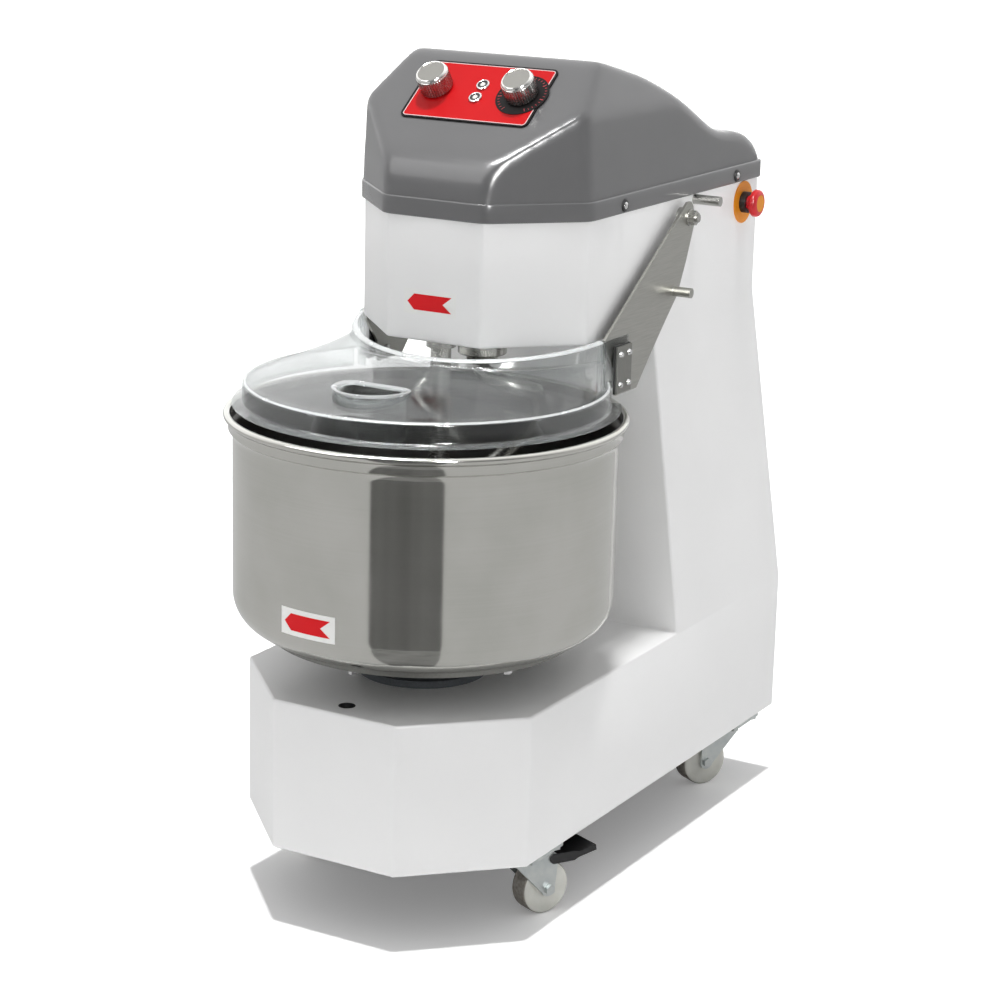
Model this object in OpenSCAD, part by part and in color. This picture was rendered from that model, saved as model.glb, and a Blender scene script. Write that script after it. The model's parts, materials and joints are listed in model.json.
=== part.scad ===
// Spiral dough mixer on castors, with a turning bowl, a visor lid and a control hood.
// Lengths are in millimetres. Plan places are measured from the bowl's axis, with the
// front at -Y, and set_down() then moves every piece so that the box of the whole
// machine stands centred on the origin.

/* [Base] */
// Width of the base casing
base_w = 450; // [420:5:540]
// Height of the base casing
base_h = 211; // [200:5:260]
// How far the base's front stands back from the bowl's wall
front_in = 38; // [0:1:60]
// Depth of the base behind the column's front
base_back = 353; // [340:1:480]
// Corner cut at the front of the base
base_chamfer = 129; // [90:1:140]
// Thickness of the painted casing sheet
sheet = 2.5; // [1.5:0.5:3]
// Thickness of the floor plate that carries the castors
floor_t = 6; // [5:1:8]

/* [Column and head] */
// Gap between the lid's collar and the underside of the head
head_gap = 22; // [18:1:60]
// Gap between the bowl's rim and the column, under the head
column_gap = 42.3; // [30:0.1:60]
// How much further back the column's front stands at the deck
column_lean = 22; // [0:1:30]
// Width of the head casing
head_w = 354; // [340:2:380]
// Depth of the head behind the column's front
head_back = 330; // [325:1:400]
// Corner cut at the front of the head
head_chamfer = 104; // [90:1:110]
// Height of the head casing
head_h = 188; // [186:1:200]

/* [Hood] */
// Wall of the moulded hood
hood_t = 4; // [3:0.5:5]
// Gap between the hood's skirt and the head
hood_gap = 1; // [0.5:0.5:2]
// Depth of the hood's skirt
skirt_h = 26; // [20:1:30]
// Length of the head's wall that stands inside the hood
hood_lap = 20; // [12:1:24]
// Height of the hood above its skirt's lower edge
hood_h = 203; // [195:1:240]
// Angle of the control slope
slope_angle = 37; // [34:1:40]

/* [Bowl] */
// Outer radius of the bowl
bowl_r = 260; // [245:1:275]
// How far the rolled rim stands out from the bowl's wall
rim_over = 12.7; // [11:0.1:20]
// Height of the bowl
bowl_h = 298; // [270:1:310]
// Bowl wall
bowl_wall = 2; // [1.5:0.5:3]
// Radius of the bowl's bottom corner
bowl_corner = 48; // [30:1:60]
// Gap between the deck and the bowl's bottom
bowl_gap = 67; // [60:1:80]
// Bowl shaft diameter at its bearings
bowl_shaft_d = 40; // [30:1:45]
// Bowl bearing outer diameter
bowl_bearing_d = 80; // [72:1:90]

/* [Spiral] */
// Outer radius that the spiral sweeps
spiral_r = 92; // [75:1:112]
// Gap between the spiral's sweep and the bowl's outer radius
wall_gap = 23; // [12:1:30]
// Gap between the spiral's sweep and the breaker bar
rod_gap = 5; // [3:1:10]
// Spiral rod diameter
rod_d = 24; // [20:1:28]
// Spiral shaft diameter at its bearings
spiral_shaft_d = 35; // [30:1:40]
// Spiral bearing outer diameter
spiral_bearing_d = 72; // [62:1:80]
// Breaker bar diameter
breaker_d = 28; // [22:1:30]

/* [Lid] */
// How far the lid's upper edge stands in from the bowl's outer radius
lid_in = 13; // [8:1:25]
// Height of the lid's skirt
lid_skirt = 31; // [25:1:40]
// Rise of the lid from its edge to the collar
lid_rise = 27; // [15:1:35]
// Lid sheet thickness
lid_t = 3; // [2:0.5:4]
// Gap between the lid's collar and the side of the head
collar_gap = 21; // [20:0.5:26]
// How far the collar's lip turns inward
collar_lip = 9; // [4:1:12]
// Running gap between the lid's flange and the bowl's rim
lid_gap = 9; // [5:1:15]
// Lid arm thickness
arm_t = 4; // [3:0.5:5]
// Distance from the column's front back to the lid's pivot
pivot_in = 70; // [64:1:78]
// Depth of the lid's pivot below the top of the head's casing
pivot_drop = 47; // [44:1:54]
// Lid pivot bolt diameter
pivot_d = 12; // [10:1:14]
// Spring post diameter
post_d = 14; // [10:1:14]

/* [Controls] */
// Control panel width
panel_w = 197; // [190:1:210]
// Control panel depth along the slope
panel_d = 112; // [105:1:118]
// Knob diameter
knob_d = 46; // [36:1:50]
// Knob height
knob_h = 30; // [20:1:34]
// Button bezel diameter
bezel_d = 19; // [16:1:22]
// Emergency stop head diameter
stop_d = 40; // [30:1:44]

/* [Castors] */
// Castor wheel diameter
wheel_d = 75; // [62:1:90]
// Height of a castor above the top of its wheel
castor_room = 30; // [28:1:40]
// Castor wheel width
wheel_w = 30; // [24:1:32]
// Trail of the castor wheel behind its swivel axis
trail = 36; // [28:1:40]
// Distance from the side of the base to the swivel axes
castor_side_in = 50; // [50:1:70]
// Distance from the front of the base to the front swivel axes
castor_front_in = 197; // [190:1:230]
// Distance from the back of the base to the rear swivel axes
castor_rear_in = 85; // [75:1:100]

/* [Fits] */
// Radial clearance of running fits
run_fit = 0.05; // [0.02:0.01:0.1]
// Gap between pieces that move past each other
slip = 0.3; // [0.2:0.05:0.5]

/* [Hidden] */
$fn = 96;

// Plan places that follow the bowl
rim_r = bowl_r + rim_over;
lid_r = bowl_r - lid_in;
base_front = bowl_r - front_in;
spiral_y = bowl_r - spiral_r - wall_gap;
breaker_y = spiral_y - spiral_r - breaker_d / 2 - rod_gap;
head_front = breaker_y - 22;
column_front_top = rim_r + column_gap;
column_front_low = column_front_top + column_lean;
base_rear = column_front_low + base_back;
head_rear = column_front_top + head_back;
collar_r = head_w / 2 + collar_gap;
collar_y = head_front + 164;
pivot_y = column_front_top + pivot_in;

// Levels, from the floor up
castor_h = wheel_d + castor_room;
throat_h = bowl_gap + bowl_h + lid_gap + lid_skirt + lid_rise + head_gap;
z_base = castor_h;
z_deck = z_base + base_h;
z_head = z_deck + throat_h;
z_head_top = z_head + head_h;
z_skirt = z_head_top - hood_lap;
z_roof = z_skirt + skirt_h;
z_top = z_skirt + hood_h;
z_bowl = z_deck + bowl_gap;
z_rim = z_bowl + bowl_h;
z_flange = z_rim + lid_gap;
z_lid = z_flange + lid_skirt;
z_collar = z_lid + lid_rise;
z_pivot = z_head_top - pivot_drop;
z_plate = z_pivot - 21;
z_belts = z_head_top + 4;
z_shelf = z_deck - 116;

// Plan sizes of the casings
head_x = head_w / 2;
base_x = base_w / 2;
hood_grow = hood_gap + hood_t;
hood_x = head_x + hood_grow;
hood_front = head_front - hood_grow;
hood_rear = head_rear + hood_grow;
mid_y = (base_rear - rim_r) / 2;

// Seats on the column's line
motor_y = column_front_top + 155;
gearmotor_y = column_front_low + 163;
motor_r = 75;
motor_shaft_r = 14;
gear_shaft_r = 15;

// Control slope: its foot, and the seats along it
slope_y = hood_front + 3;
slope_z = z_skirt + 70;
slope_len = (z_top - 5 - slope_z) / sin(slope_angle);
panel_t = 2;
panel_mid = slope_len - panel_d / 2 - 16.7;
panel_r = 9;
knob_x = panel_w / 2 - 32.5;
knob_s = panel_mid + 2;
button_s = [panel_mid - 11, panel_mid + 14];
dial_t = 0.8;
foil_gap = 0.05;
stem_r = 3;
bezel_hole = bezel_d / 2 - 1.4;

// Emergency stop, on the right side of the head
stop_y = head_rear - 52;
stop_z = z_skirt - 32;
stop_plate_r = 31;
stop_plate_t = 1.5;
stop_stem_r = stop_d / 4;
stop_barrel_r = 11;

// Lid arms and their clamps
arm_x = collar_r - 9;
pad_t = 3;
gasket_t = 3;
clamp_t = 3;
horn_y = (lid_r * lid_r - collar_r * collar_r + collar_y * collar_y) / (2 * collar_y);
clamp_y = horn_y + 32.5;
clamp_z = z_lid + 10;
clamp_w = 40;
clamp_h = 64;
clamp_pitch_y = 24;
clamp_pitch_z = 42;
clamp_bolt_r = 2.5;
lid_end_y = horn_y - 14;
ear_x = arm_x + arm_t;
clamp_x = ear_x + pad_t;
ear_in = 13;
ear_drop = 5;
flange_w = 14;
collar_low = 9;
collar_slope = atan(0.115);

// Spring posts on the head's sides
post_y = pivot_y + 45;
post_z = z_skirt - 8;
post_len = 41;

// Cover screws
screw_r = 2.5;
screw_slack = 0.2;
hood_screw_y = [head_front + 193, head_rear - 87];
hood_screw_z = z_skirt + 11;
cover_w = 240;
cover_z = z_head + 20;
cover_h = 112;
cover_t = 2;

// Castor places and how each stands: side, distance back, swivel angle
castor_x = base_x - castor_side_in;
castor_front_y = castor_front_in - base_front;
castor_rear_y = base_rear - castor_rear_in;
axle_z = wheel_d / 2;
fork_gap = 2;
fork_t = 3;
fork_top = castor_h - 10;
axle_r = 4;
pedal_y = 44;
pedal_z = axle_z + wheel_d / 2 + 5;
turn_front_right = -24;
turn_front_left = -12;
turn_rear_right = 150;
turn_rear_left = 166;

// Colours of the finishes
white_paint = "#e8e8e6";
hood_grey = "#7d7e80";
steel = "#b9bcbd";
zinc = "#c6c9c8";
dark = "#2a2a2c";
red = "#d9161e";
yellow = "#f2b21b";
nylon = "#d9d9d4";
cast_grey = "#6c7176";
motor_blue = "#4b6275";

// Shared shapes

function octagon(w, front, rear, cut, inset = 0) =
  let (x = w / 2 - inset, f = front + inset, r = rear - inset, c = cut - inset * (2 - sqrt(2)))
  [[-(x - c), f], [x - c, f], [x, f + c], [x, r], [-x, r], [-x, f + c]];

function arc(cx, cy, r, a0, a1, n = 8) =
  [for (i = [0 : n]) [cx + r * cos(a0 + (a1 - a0) * i / n), cy + r * sin(a0 + (a1 - a0) * i / n)]];

function rounded(w, d, r, n = 6) = concat(
  arc(w / 2 - r, d / 2 - r, r, 0, 90, n), arc(-w / 2 + r, d / 2 - r, r, 90, 180, n),
  arc(-w / 2 + r, -d / 2 + r, r, 180, 270, n), arc(w / 2 - r, -d / 2 + r, r, 270, 360, n));

// Outline of a belt round two pulleys on one line along Y, offset outward by grow
function belt_line(ya, ra, yb, rb, grow) =
  let (tilt = asin((ra - rb) / (yb - ya)))
  concat(arc(0, ya, ra + grow, 180 - tilt, 360 + tilt, 48), arc(0, yb, rb + grow, tilt, 180 - tilt, 32));

module set_down() {
  translate([0, -mid_y, 0]) children();
}

module both_sides() {
  children();
  mirror([1, 0, 0]) children();
}

module tube(r_out, r_in, h) {
  difference() {
    cylinder(r = r_out, h = h);
    translate([0, 0, -1]) cylinder(r = r_in, h = h + 2);
  }
}

module along_x(r, from, to) {
  translate([from, 0, 0]) rotate([0, 90, 0]) cylinder(r = r, h = to - from);
}

module hex_prism(r, h) {
  cylinder(r = r, h = h, $fn = 6);
}

module on_slope(x, s, n) {
  translate([x, slope_y + s * cos(slope_angle) - n * sin(slope_angle),
             slope_z + s * sin(slope_angle) + n * cos(slope_angle)])
    rotate([slope_angle, 0, 0]) children();
}

// Casings

module base_shell() set_down() color(white_paint) difference() {
  translate([0, 0, z_base])
    linear_extrude(base_h) polygon(octagon(base_w, -base_front, base_rear, base_chamfer));
  translate([0, 0, z_base - 1])
    linear_extrude(base_h - sheet + 1)
      polygon(octagon(base_w, -base_front, base_rear, base_chamfer, sheet));
  translate([0, 0, z_deck - sheet - 1]) cylinder(r = housing_r(bowl_bearing_d) + 1, h = sheet + 2);
  translate([0, -base_front + 33, z_deck - sheet - 1]) cylinder(d = 23, h = sheet + 2);
  translate([-base_x + 25, column_front_low + 15, z_deck - sheet - 1])
    cube([base_w - 50, base_rear - column_front_low - 40, sheet + 2]);
}

module column_block(inset, z_low, z_high) {
  function at(z, low, high) = low + (high - low) * (z - z_deck) / throat_h;
  module slice(z) {
    x = at(z, base_x, head_x) - inset;
    front = at(z, column_front_low, column_front_top) + inset;
    rear = at(z, base_rear, head_rear) - inset;
    translate([-x, front, z]) cube([2 * x, rear - front, 0.001]);
  }
  hull() {
    slice(z_low);
    slice(z_high - 0.001);
  }
}

module column_shell() set_down() color(white_paint) difference() {
  column_block(0, z_deck, z_head);
  column_block(sheet, z_deck - 1, z_head + 1);
}

module head_shell() set_down() color(white_paint) difference() {
  translate([0, 0, z_head])
    linear_extrude(head_h) polygon(octagon(head_w, head_front, head_rear, head_chamfer));
  translate([0, 0, z_head + sheet])
    linear_extrude(head_h) polygon(octagon(head_w, head_front, head_rear, head_chamfer, sheet));
  translate([0, spiral_y, z_head - 1]) cylinder(r = housing_r(spiral_bearing_d) + 0.5, h = sheet + 2);
  translate([-head_x + 20, column_front_top + 15, z_head - 1])
    cube([head_w - 40, head_rear - column_front_top - 35, sheet + 2]);
  translate([0, stop_y, stop_z]) along_x(stop_barrel_r + 0.5, head_x - sheet - 1, head_x + 1);
  both_sides() translate([0, post_y, post_z]) along_x(post_d / 4 + 0.1, head_x - sheet - 1, head_x + 1);
  both_sides() translate([0, pivot_y, z_pivot]) along_x(pivot_d / 2 + 0.1, head_x - sheet - 1, head_x + 1);
  both_sides() for (y = hood_screw_y)
    translate([0, y, hood_screw_z]) along_x(screw_r + screw_slack, head_x - sheet - 1, head_x + 1);
  translate([-cover_w / 2 + 15, head_rear - sheet - 1, cover_z + 15])
    cube([cover_w - 30, sheet + 2, cover_h - 30]);
  for (p = cover_screw_places()) translate([p[0], head_rear + 1, p[1]])
    rotate([90, 0, 0]) cylinder(r = screw_r + screw_slack, h = sheet + 2);
  gland_place() translate([0, 0, -sheet - 1]) cylinder(r = 10.2, h = sheet + 2);
}

module floor_plate() set_down() color(cast_grey) difference() {
  translate([0, 0, z_base])
    linear_extrude(floor_t)
      polygon(octagon(base_w, -base_front, base_rear, base_chamfer, sheet + slip));
  for (c = castors()) castor_bolt_places(c) translate([0, 0, castor_h - 1])
    cylinder(r = castor_bolt_r + screw_slack, h = floor_t + 2);
}

function cover_screw_places() =
  [for (i = [-1, 0, 1], z = [cover_z + 7, cover_z + cover_h - 7]) [i * (cover_w / 2 - 8), z]];

module rear_cover() set_down() color(white_paint) difference() {
  translate([-cover_w / 2, head_rear, cover_z]) cube([cover_w, cover_t, cover_h]);
  for (p = cover_screw_places()) translate([p[0], head_rear + cover_t + 1, p[1]])
    rotate([90, 0, 0]) cylinder(r = screw_r + screw_slack, h = cover_t + 2);
  for (x = [-50, 50], i = [0 : 5])
    translate([x - 35, head_rear - 1, cover_z + 26 + 11 * i]) cube([70, cover_t + 2, 4]);
}

module round_screw(head_h) {
  cylinder(r1 = 2 * screw_r, r2 = 1.3 * screw_r, h = head_h);
  translate([0, 0, -8]) cylinder(r = screw_r, h = 8);
}

module cover_screws() set_down() {
  both_sides() for (y = hood_screw_y) translate([hood_x, y, hood_screw_z]) rotate([0, 90, 0]) {
    color(dark) translate([0, 0, slip / 3]) tube(9, screw_r + 0.1, 2);
    color(steel) translate([0, 0, 2 + slip / 2]) round_screw(2);
  }
  color(steel) for (p = cover_screw_places())
    translate([p[0], head_rear + cover_t + slip / 3, p[1]]) rotate([-90, 0, 0]) round_screw(2.5);
}

// Drive in the head

function housing_r(bearing_d) = bearing_d / 2 + 11;

module drive_plate() set_down() color(cast_grey) difference() {
  translate([0, 0, z_plate]) linear_extrude(8)
    polygon(octagon(head_w, head_front, motor_y + 85, head_chamfer, sheet + slip));
  translate([0, spiral_y, z_plate - 1]) cylinder(r = housing_r(spiral_bearing_d) + slip, h = 10);
  translate([0, motor_y, z_plate - 1]) cylinder(r = 30, h = 10);
  both_sides() translate([head_x - 45, column_front_top + 15, z_plate - 1]) cylinder(r = 20, h = 10);
}

module spiral_housing() set_down() color(cast_grey) translate([0, spiral_y, 0]) difference() {
  union() {
    translate([0, 0, z_head - 8]) cylinder(r = housing_r(spiral_bearing_d) + 18, h = 8 - slip);
    translate([0, 0, z_head - 1]) cylinder(r = housing_r(spiral_bearing_d), h = z_plate - z_head + 18);
  }
  translate([0, 0, z_head - 9]) cylinder(d = spiral_bearing_d, h = z_plate - z_head + 30);
}

module ball_bearing(shaft_d, outer_d, h) {
  step = (outer_d - shaft_d) / 6;
  difference() {
    cylinder(r = outer_d / 2 - run_fit, h = h);
    translate([0, 0, -1]) cylinder(r = shaft_d / 2 + run_fit, h = h + 2);
    for (z = [-1, h - 1]) translate([0, 0, z]) tube(outer_d / 2 - step, shaft_d / 2 + step, 2);
  }
}

module shaft_bearings() set_down() color(steel) {
  for (z = [z_head - 4, z_plate - 4])
    translate([0, spiral_y, z]) ball_bearing(spiral_shaft_d, spiral_bearing_d, 17);
  for (z = [z_deck - 96, z_deck - 14])
    translate([0, 0, z]) ball_bearing(bowl_shaft_d, bowl_bearing_d, 18);
}

module spiral_shaft() set_down() color(steel) translate([0, spiral_y, 0]) {
  translate([0, 0, z_head - 26]) cylinder(d = spiral_shaft_d, h = z_belts + 64 - z_head);
  translate([0, 0, z_head - 26]) cylinder(r = 34, h = 10);
}

// Rod along the spiral's path, as rings of points swept along it
rod_sides = 12;
rod_steps = 72;
rod_turns = 1.35;
rod_r = rod_d / 2;
coil_r = spiral_r - rod_r;
coil_top = z_head - 84;
coil_low = z_bowl + bowl_wall + 8 + rod_r;
rod_top = z_head - 44;

function ease(t) = t * t * (3 - 2 * t);

function rod_at(t) =
  let (out = t < 0.2 ? ease(t / 0.2) : (t > 0.86 ? 1 - 0.8 * ease((t - 0.86) / 0.14) : 1))
  let (turn = 360 * rod_turns * t - 90)
  let (z = t < 0.2 ? rod_top + (coil_top - rod_top) * t / 0.2
                   : coil_top + (coil_low - coil_top) * sin(90 * min(1, (t - 0.2) / 0.68)))
  [coil_r * out * cos(turn), coil_r * out * sin(turn), z];

function unit(v) = v / norm(v);

function rod_ring(t) =
  let (step = unit(rod_at(min(1, t + 0.004)) - rod_at(max(0, t - 0.004))))
  let (side = unit(cross(step, [0, 0, 1] + 0.2 * rod_at(t) / coil_r)))
  let (up = cross(side, step))
  [for (k = [0 : rod_sides - 1])
    rod_at(t) + rod_r * (cos(360 * k / rod_sides) * side + sin(360 * k / rod_sides) * up)];

module swept_rod() {
  points = [for (i = [0 : rod_steps]) each rod_ring(i / rod_steps)];
  sides = [for (i = [0 : rod_steps - 1], k = [0 : rod_sides - 1])
    let (a = i * rod_sides + k, b = i * rod_sides + (k + 1) % rod_sides)
    [a, b, b + rod_sides, a + rod_sides]];
  first = [for (k = [rod_sides - 1 : -1 : 0]) k];
  last = [for (k = [0 : rod_sides - 1]) rod_steps * rod_sides + k];
  polyhedron(points = points, faces = concat(sides, [first], [last]), convexity = 6);
}

module spiral_hook() set_down() color(steel) translate([0, spiral_y, 0]) {
  swept_rod();
  translate([0, 0, rod_top - 2]) cylinder(r = 22, h = 12);
  translate([0, 0, rod_top + 8]) cylinder(r = 34, h = 10);
}

// A pulley with square grooves for its belts
groove_w = 13;
groove_deep = 9;
groove_pitch = 17;

module pulley(r, bore_r, grooves) difference() {
  cylinder(r = r, h = grooves * groove_pitch);
  translate([0, 0, -1]) cylinder(r = bore_r, h = grooves * groove_pitch + 2);
  for (i = [0 : grooves - 1]) translate([0, 0, groove_pitch * i + (groove_pitch - groove_w) / 2])
    tube(r + 1, r - groove_deep, groove_w);
}

module belt_set(ya, ra, yb, rb, count, z) {
  for (i = [0 : count - 1])
    translate([0, 0, z + groove_pitch * i + (groove_pitch - groove_w) / 2 + slip])
      linear_extrude(groove_w - 2 * slip) difference() {
        polygon(belt_line(ya, ra, yb, rb, 0.5));
        polygon(belt_line(ya, ra, yb, rb, slip - groove_deep));
      }
}

spiral_pulley_r = 118;
motor_pulley_r = 48;
bowl_pulley_r = 150;
gear_pulley_r = 45;

module spiral_pulley() set_down() color(cast_grey) translate([0, spiral_y, z_belts])
  pulley(spiral_pulley_r, spiral_shaft_d / 2 + run_fit, 2);

module motor_pulley() set_down() color(cast_grey) translate([0, motor_y, 0]) {
  translate([0, 0, z_belts]) pulley(motor_pulley_r, motor_shaft_r + run_fit, 2);
  translate([0, 0, z_plate - 60]) cylinder(r = motor_shaft_r, h = z_belts - z_plate + 96);
}

module drive_belts() set_down() color(dark) {
  belt_set(spiral_y, spiral_pulley_r, motor_y, motor_pulley_r, 2, z_belts);
  belt_set(0, bowl_pulley_r, gearmotor_y, gear_pulley_r, 2, z_bowl_belt);
}

module motor_can(r, h, fins) {
  cylinder(r = r, h = h);
  for (i = [1 : fins]) translate([0, 0, h * i / (fins + 1)]) cylinder(r = r + 4, h = 3);
}

module spiral_motor() set_down() color(motor_blue) difference() {
  translate([0, motor_y, 0]) {
    translate([0, 0, z_plate - 250]) motor_can(motor_r, 238, 9);
    translate([0, 0, z_plate - 12]) cylinder(r = motor_r + 10, h = 12 - slip);
    translate([-30, -motor_r - 30, z_plate - 150]) cube([60, 40, 70]);
  }
  translate([0, motor_y, z_plate - 62]) cylinder(r = motor_shaft_r + run_fit, h = 70);
}

module breaker_bar() set_down() color(steel) translate([0, breaker_y, 0]) {
  translate([0, 0, z_bowl + 22]) cylinder(d = breaker_d, h = z_head - z_bowl - 22);
  translate([0, 0, z_head - 8]) cylinder(r = breaker_d / 2 + 6, h = 8);
}

// Bowl and its drive

bead_r = 5;

function bowl_side(inset) = concat(
  [[0, z_bowl + inset]],
  arc(bowl_r - bowl_corner, z_bowl + bowl_corner, bowl_corner - inset, 270, 360, 10),
  [[bowl_r - inset, z_rim - 36]],
  arc(bowl_r + 16 - inset, z_rim - 36, 16, 180, 128, 5));

module bowl_section() difference() {
  polygon(concat(bowl_side(0), [[rim_r - bead_r, z_rim - bead_r], [0, z_rim - bead_r]]));
  polygon(concat(bowl_side(bowl_wall), [[rim_r - bead_r - bowl_wall, z_rim - bead_r - 1],
    [rim_r - bead_r - bowl_wall, z_rim], [0, z_rim]]));
}

module bowl() set_down() color(steel) rotate_extrude($fn = 128) {
  intersection() {
    bowl_section();
    translate([0, z_bowl + bowl_corner]) square([2 * rim_r, z_rim]);
  }
  translate([rim_r - bead_r, z_rim - bead_r]) circle(r = bead_r, $fn = 24);
}

module bowl_bottom() set_down() color(steel) rotate_extrude($fn = 128) intersection() {
  bowl_section();
  square([2 * rim_r, z_bowl + bowl_corner]);
}

turntable_r = bowl_r - bowl_corner;
turntable_t = 10;
bowl_bolt_r = 5;

module bowl_bolt_places() for (a = [35 : 60 : 335]) rotate(a) translate([turntable_r - 12, 0, 0]) children();

module bowl_turntable() set_down() color(steel) difference() {
  union() {
    translate([0, 0, z_bowl - turntable_t]) cylinder(r = turntable_r, h = turntable_t);
    translate([0, 0, z_bowl - 38]) cylinder(r = 60, h = 39 - turntable_t);
  }
  bowl_bolt_places() translate([0, 0, z_bowl - turntable_t - 1]) cylinder(r = bowl_bolt_r + screw_slack, h = turntable_t - 2);
}

module bowl_bolts() set_down() color(steel) bowl_bolt_places() {
  translate([0, 0, z_bowl - turntable_t - 6 - slip]) hex_prism(7.5, 6);
  translate([0, 0, z_bowl - turntable_t - 1]) cylinder(r = bowl_bolt_r, h = turntable_t - 3);
}

module bowl_shaft() set_down() color(steel) {
  translate([0, 0, z_deck - 176]) cylinder(d = bowl_shaft_d, h = 176 + bowl_gap - 38);
  translate([0, 0, z_bowl - 46]) cylinder(r = 55, h = 8);
}

module bowl_housing() set_down() color(cast_grey) difference() {
  union() {
    translate([0, 0, z_deck]) cylinder(r = housing_r(bowl_bearing_d) + 38, h = 10);
    translate([0, 0, z_deck - 106]) cylinder(r = housing_r(bowl_bearing_d), h = 118);
  }
  translate([0, 0, z_deck - 107]) cylinder(d = bowl_bearing_d, h = 120);
}

z_bowl_belt = z_shelf - 42;

module bowl_pulley() set_down() color(cast_grey) translate([0, 0, z_bowl_belt])
  pulley(bowl_pulley_r, bowl_shaft_d / 2 + run_fit, 2);

module bowl_drive_pulley() set_down() color(cast_grey) translate([0, gearmotor_y, 0]) {
  translate([0, 0, z_bowl_belt]) pulley(gear_pulley_r, gear_shaft_r + run_fit, 2);
  translate([0, 0, z_bowl_belt - 2]) cylinder(r = gear_shaft_r, h = 90);
}

module gearmotor_shelf() set_down() color(cast_grey) difference() {
  translate([-base_x + sheet + slip, gearmotor_y - 90, z_shelf])
    cube([base_w - 2 * sheet - 2 * slip, 180, 6]);
  translate([0, gearmotor_y, z_shelf - 1]) cylinder(r = gear_shaft_r + 3, h = 8);
}

module bowl_gearmotor() set_down() color(motor_blue) difference() {
  union() {
    translate([-70, gearmotor_y - 75, z_shelf + 6 + slip]) cube([140, 150, 90]);
    translate([0, gearmotor_y, z_shelf + 96]) motor_can(62, 210, 7);
  }
  translate([0, gearmotor_y, z_shelf]) cylinder(r = gear_shaft_r + run_fit, h = 60);
}

// Hood and controls

// Roof line behind the control slope, as shares of its length and of its fall
roof_line = [[0.1, 0.05], [0.27, 0.18], [0.45, 0.39], [0.56, 0.53], [0.67, 0.67], [0.72, 0.7],
             [0.87, 0.75], [0.96, 0.86]];
crest_y = slope_y + slope_len * cos(slope_angle);

function hood_line(inset) =
  let (drop = 1.25 * inset, fall = z_top - z_roof - 4, run = hood_rear - crest_y)
  concat(
    [[hood_front + inset, z_roof - 1],
     [slope_y + inset, slope_z - inset * (1.25 - tan(slope_angle))],
     [crest_y, z_top - 5 - drop], [crest_y + 12, z_top - drop]],
    [for (p = roof_line) [crest_y + p[0] * run, z_top - drop - p[1] * fall]],
    [[hood_rear - 1 - inset, z_roof + 4 - inset / 2], [hood_rear - 1 - inset, z_roof - 1]]);

module hood_block(inset) intersection() {
  rotate([90, 0, 90]) translate([0, 0, -hood_x]) linear_extrude(2 * hood_x) polygon(hood_line(inset));
  hull() {
    translate([0, 0, z_roof - 1]) linear_extrude(0.01)
      polygon(octagon(2 * hood_x - 6, hood_front, hood_rear, head_chamfer, inset));
    translate([0, 0, z_top]) linear_extrude(0.01)
      polygon(octagon(2 * hood_x - 66, hood_front + 12, hood_rear, head_chamfer - 16, inset));
  }
}

module hood() set_down() color(hood_grey) difference() {
  union() {
    hood_block(0);
    translate([0, 0, z_skirt]) linear_extrude(skirt_h)
      polygon(octagon(2 * hood_x, hood_front, hood_rear, head_chamfer + 1));
  }
  hood_block(hood_t);
  translate([0, 0, z_skirt - 1]) linear_extrude(skirt_h + 1 - hood_t)
    polygon(octagon(2 * hood_x, hood_front, hood_rear, head_chamfer + 1, hood_t));
  translate([0, 0, z_skirt]) linear_extrude(skirt_h + 1)
    polygon(octagon(2 * hood_x - 6, hood_front, hood_rear, head_chamfer, hood_t));
  both_sides() for (y = hood_screw_y)
    translate([0, y, hood_screw_z]) along_x(screw_r + screw_slack, head_x, hood_x + 1);
  for (x = [-knob_x, knob_x]) on_slope(x, knob_s, -hood_t - 4) cylinder(r = stem_r + 2, h = hood_t + 8);
  for (s = button_s) on_slope(0, s, -hood_t - 4) cylinder(r = bezel_hole + 0.2, h = hood_t + 8);
}

module control_panel() set_down() color(red) difference() {
  on_slope(0, panel_mid, foil_gap) linear_extrude(panel_t - foil_gap)
    polygon(rounded(panel_w, panel_d, panel_r));
  for (x = [-knob_x, knob_x]) on_slope(x, knob_s, -1) cylinder(r = stem_r + run_fit, h = panel_t + 2);
  for (s = button_s) on_slope(0, s, -1) cylinder(r = bezel_hole + 0.2, h = panel_t + 2);
}

module dial_scale() set_down() color(dark)
  on_slope(knob_x, knob_s, panel_t + foil_gap) tube(37.5, stem_r + 1, dial_t);

module knob(x) set_down() color(steel) on_slope(x, knob_s, 0) {
  translate([0, 0, panel_t + dial_t + slip]) cylinder(r = knob_d / 2, h = knob_h - 3);
  translate([0, 0, panel_t + dial_t + slip + knob_h - 3])
    cylinder(r1 = knob_d / 2, r2 = knob_d / 2 - 3, h = 3);
  translate([0, 0, -hood_t - 16]) cylinder(r = stem_r, h = hood_t + panel_t + 20);
}

module knob_left() knob(-knob_x);

module knob_right() knob(knob_x);

module dial_timers() set_down() color(dark) for (x = [-knob_x, knob_x])
  on_slope(x, knob_s, -hood_t - 32 - slip) difference() {
    translate([-22, -22, 0]) cube([44, 44, 32]);
    translate([0, 0, 10]) cylinder(r = stem_r + run_fit, h = 30);
  }

module button_bezels() set_down() color(steel) for (s = button_s) on_slope(0, s, 0) {
  translate([0, 0, panel_t + slip / 3]) tube(bezel_d / 2, bezel_hole - 1.6, 3.2);
  difference() {
    translate([0, 0, -20]) cylinder(r = bezel_hole, h = 20 + panel_t + 1);
    translate([0, 0, -18]) cylinder(r = bezel_hole - 1.6, h = 30);
  }
}

module push_button(s) set_down() color(dark) on_slope(0, s, -13)
  cylinder(r = bezel_hole - 1.6 - run_fit, h = 13 + panel_t + 2.4);

module button_start() push_button(button_s[1]);

module button_stop() push_button(button_s[0]);

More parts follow.
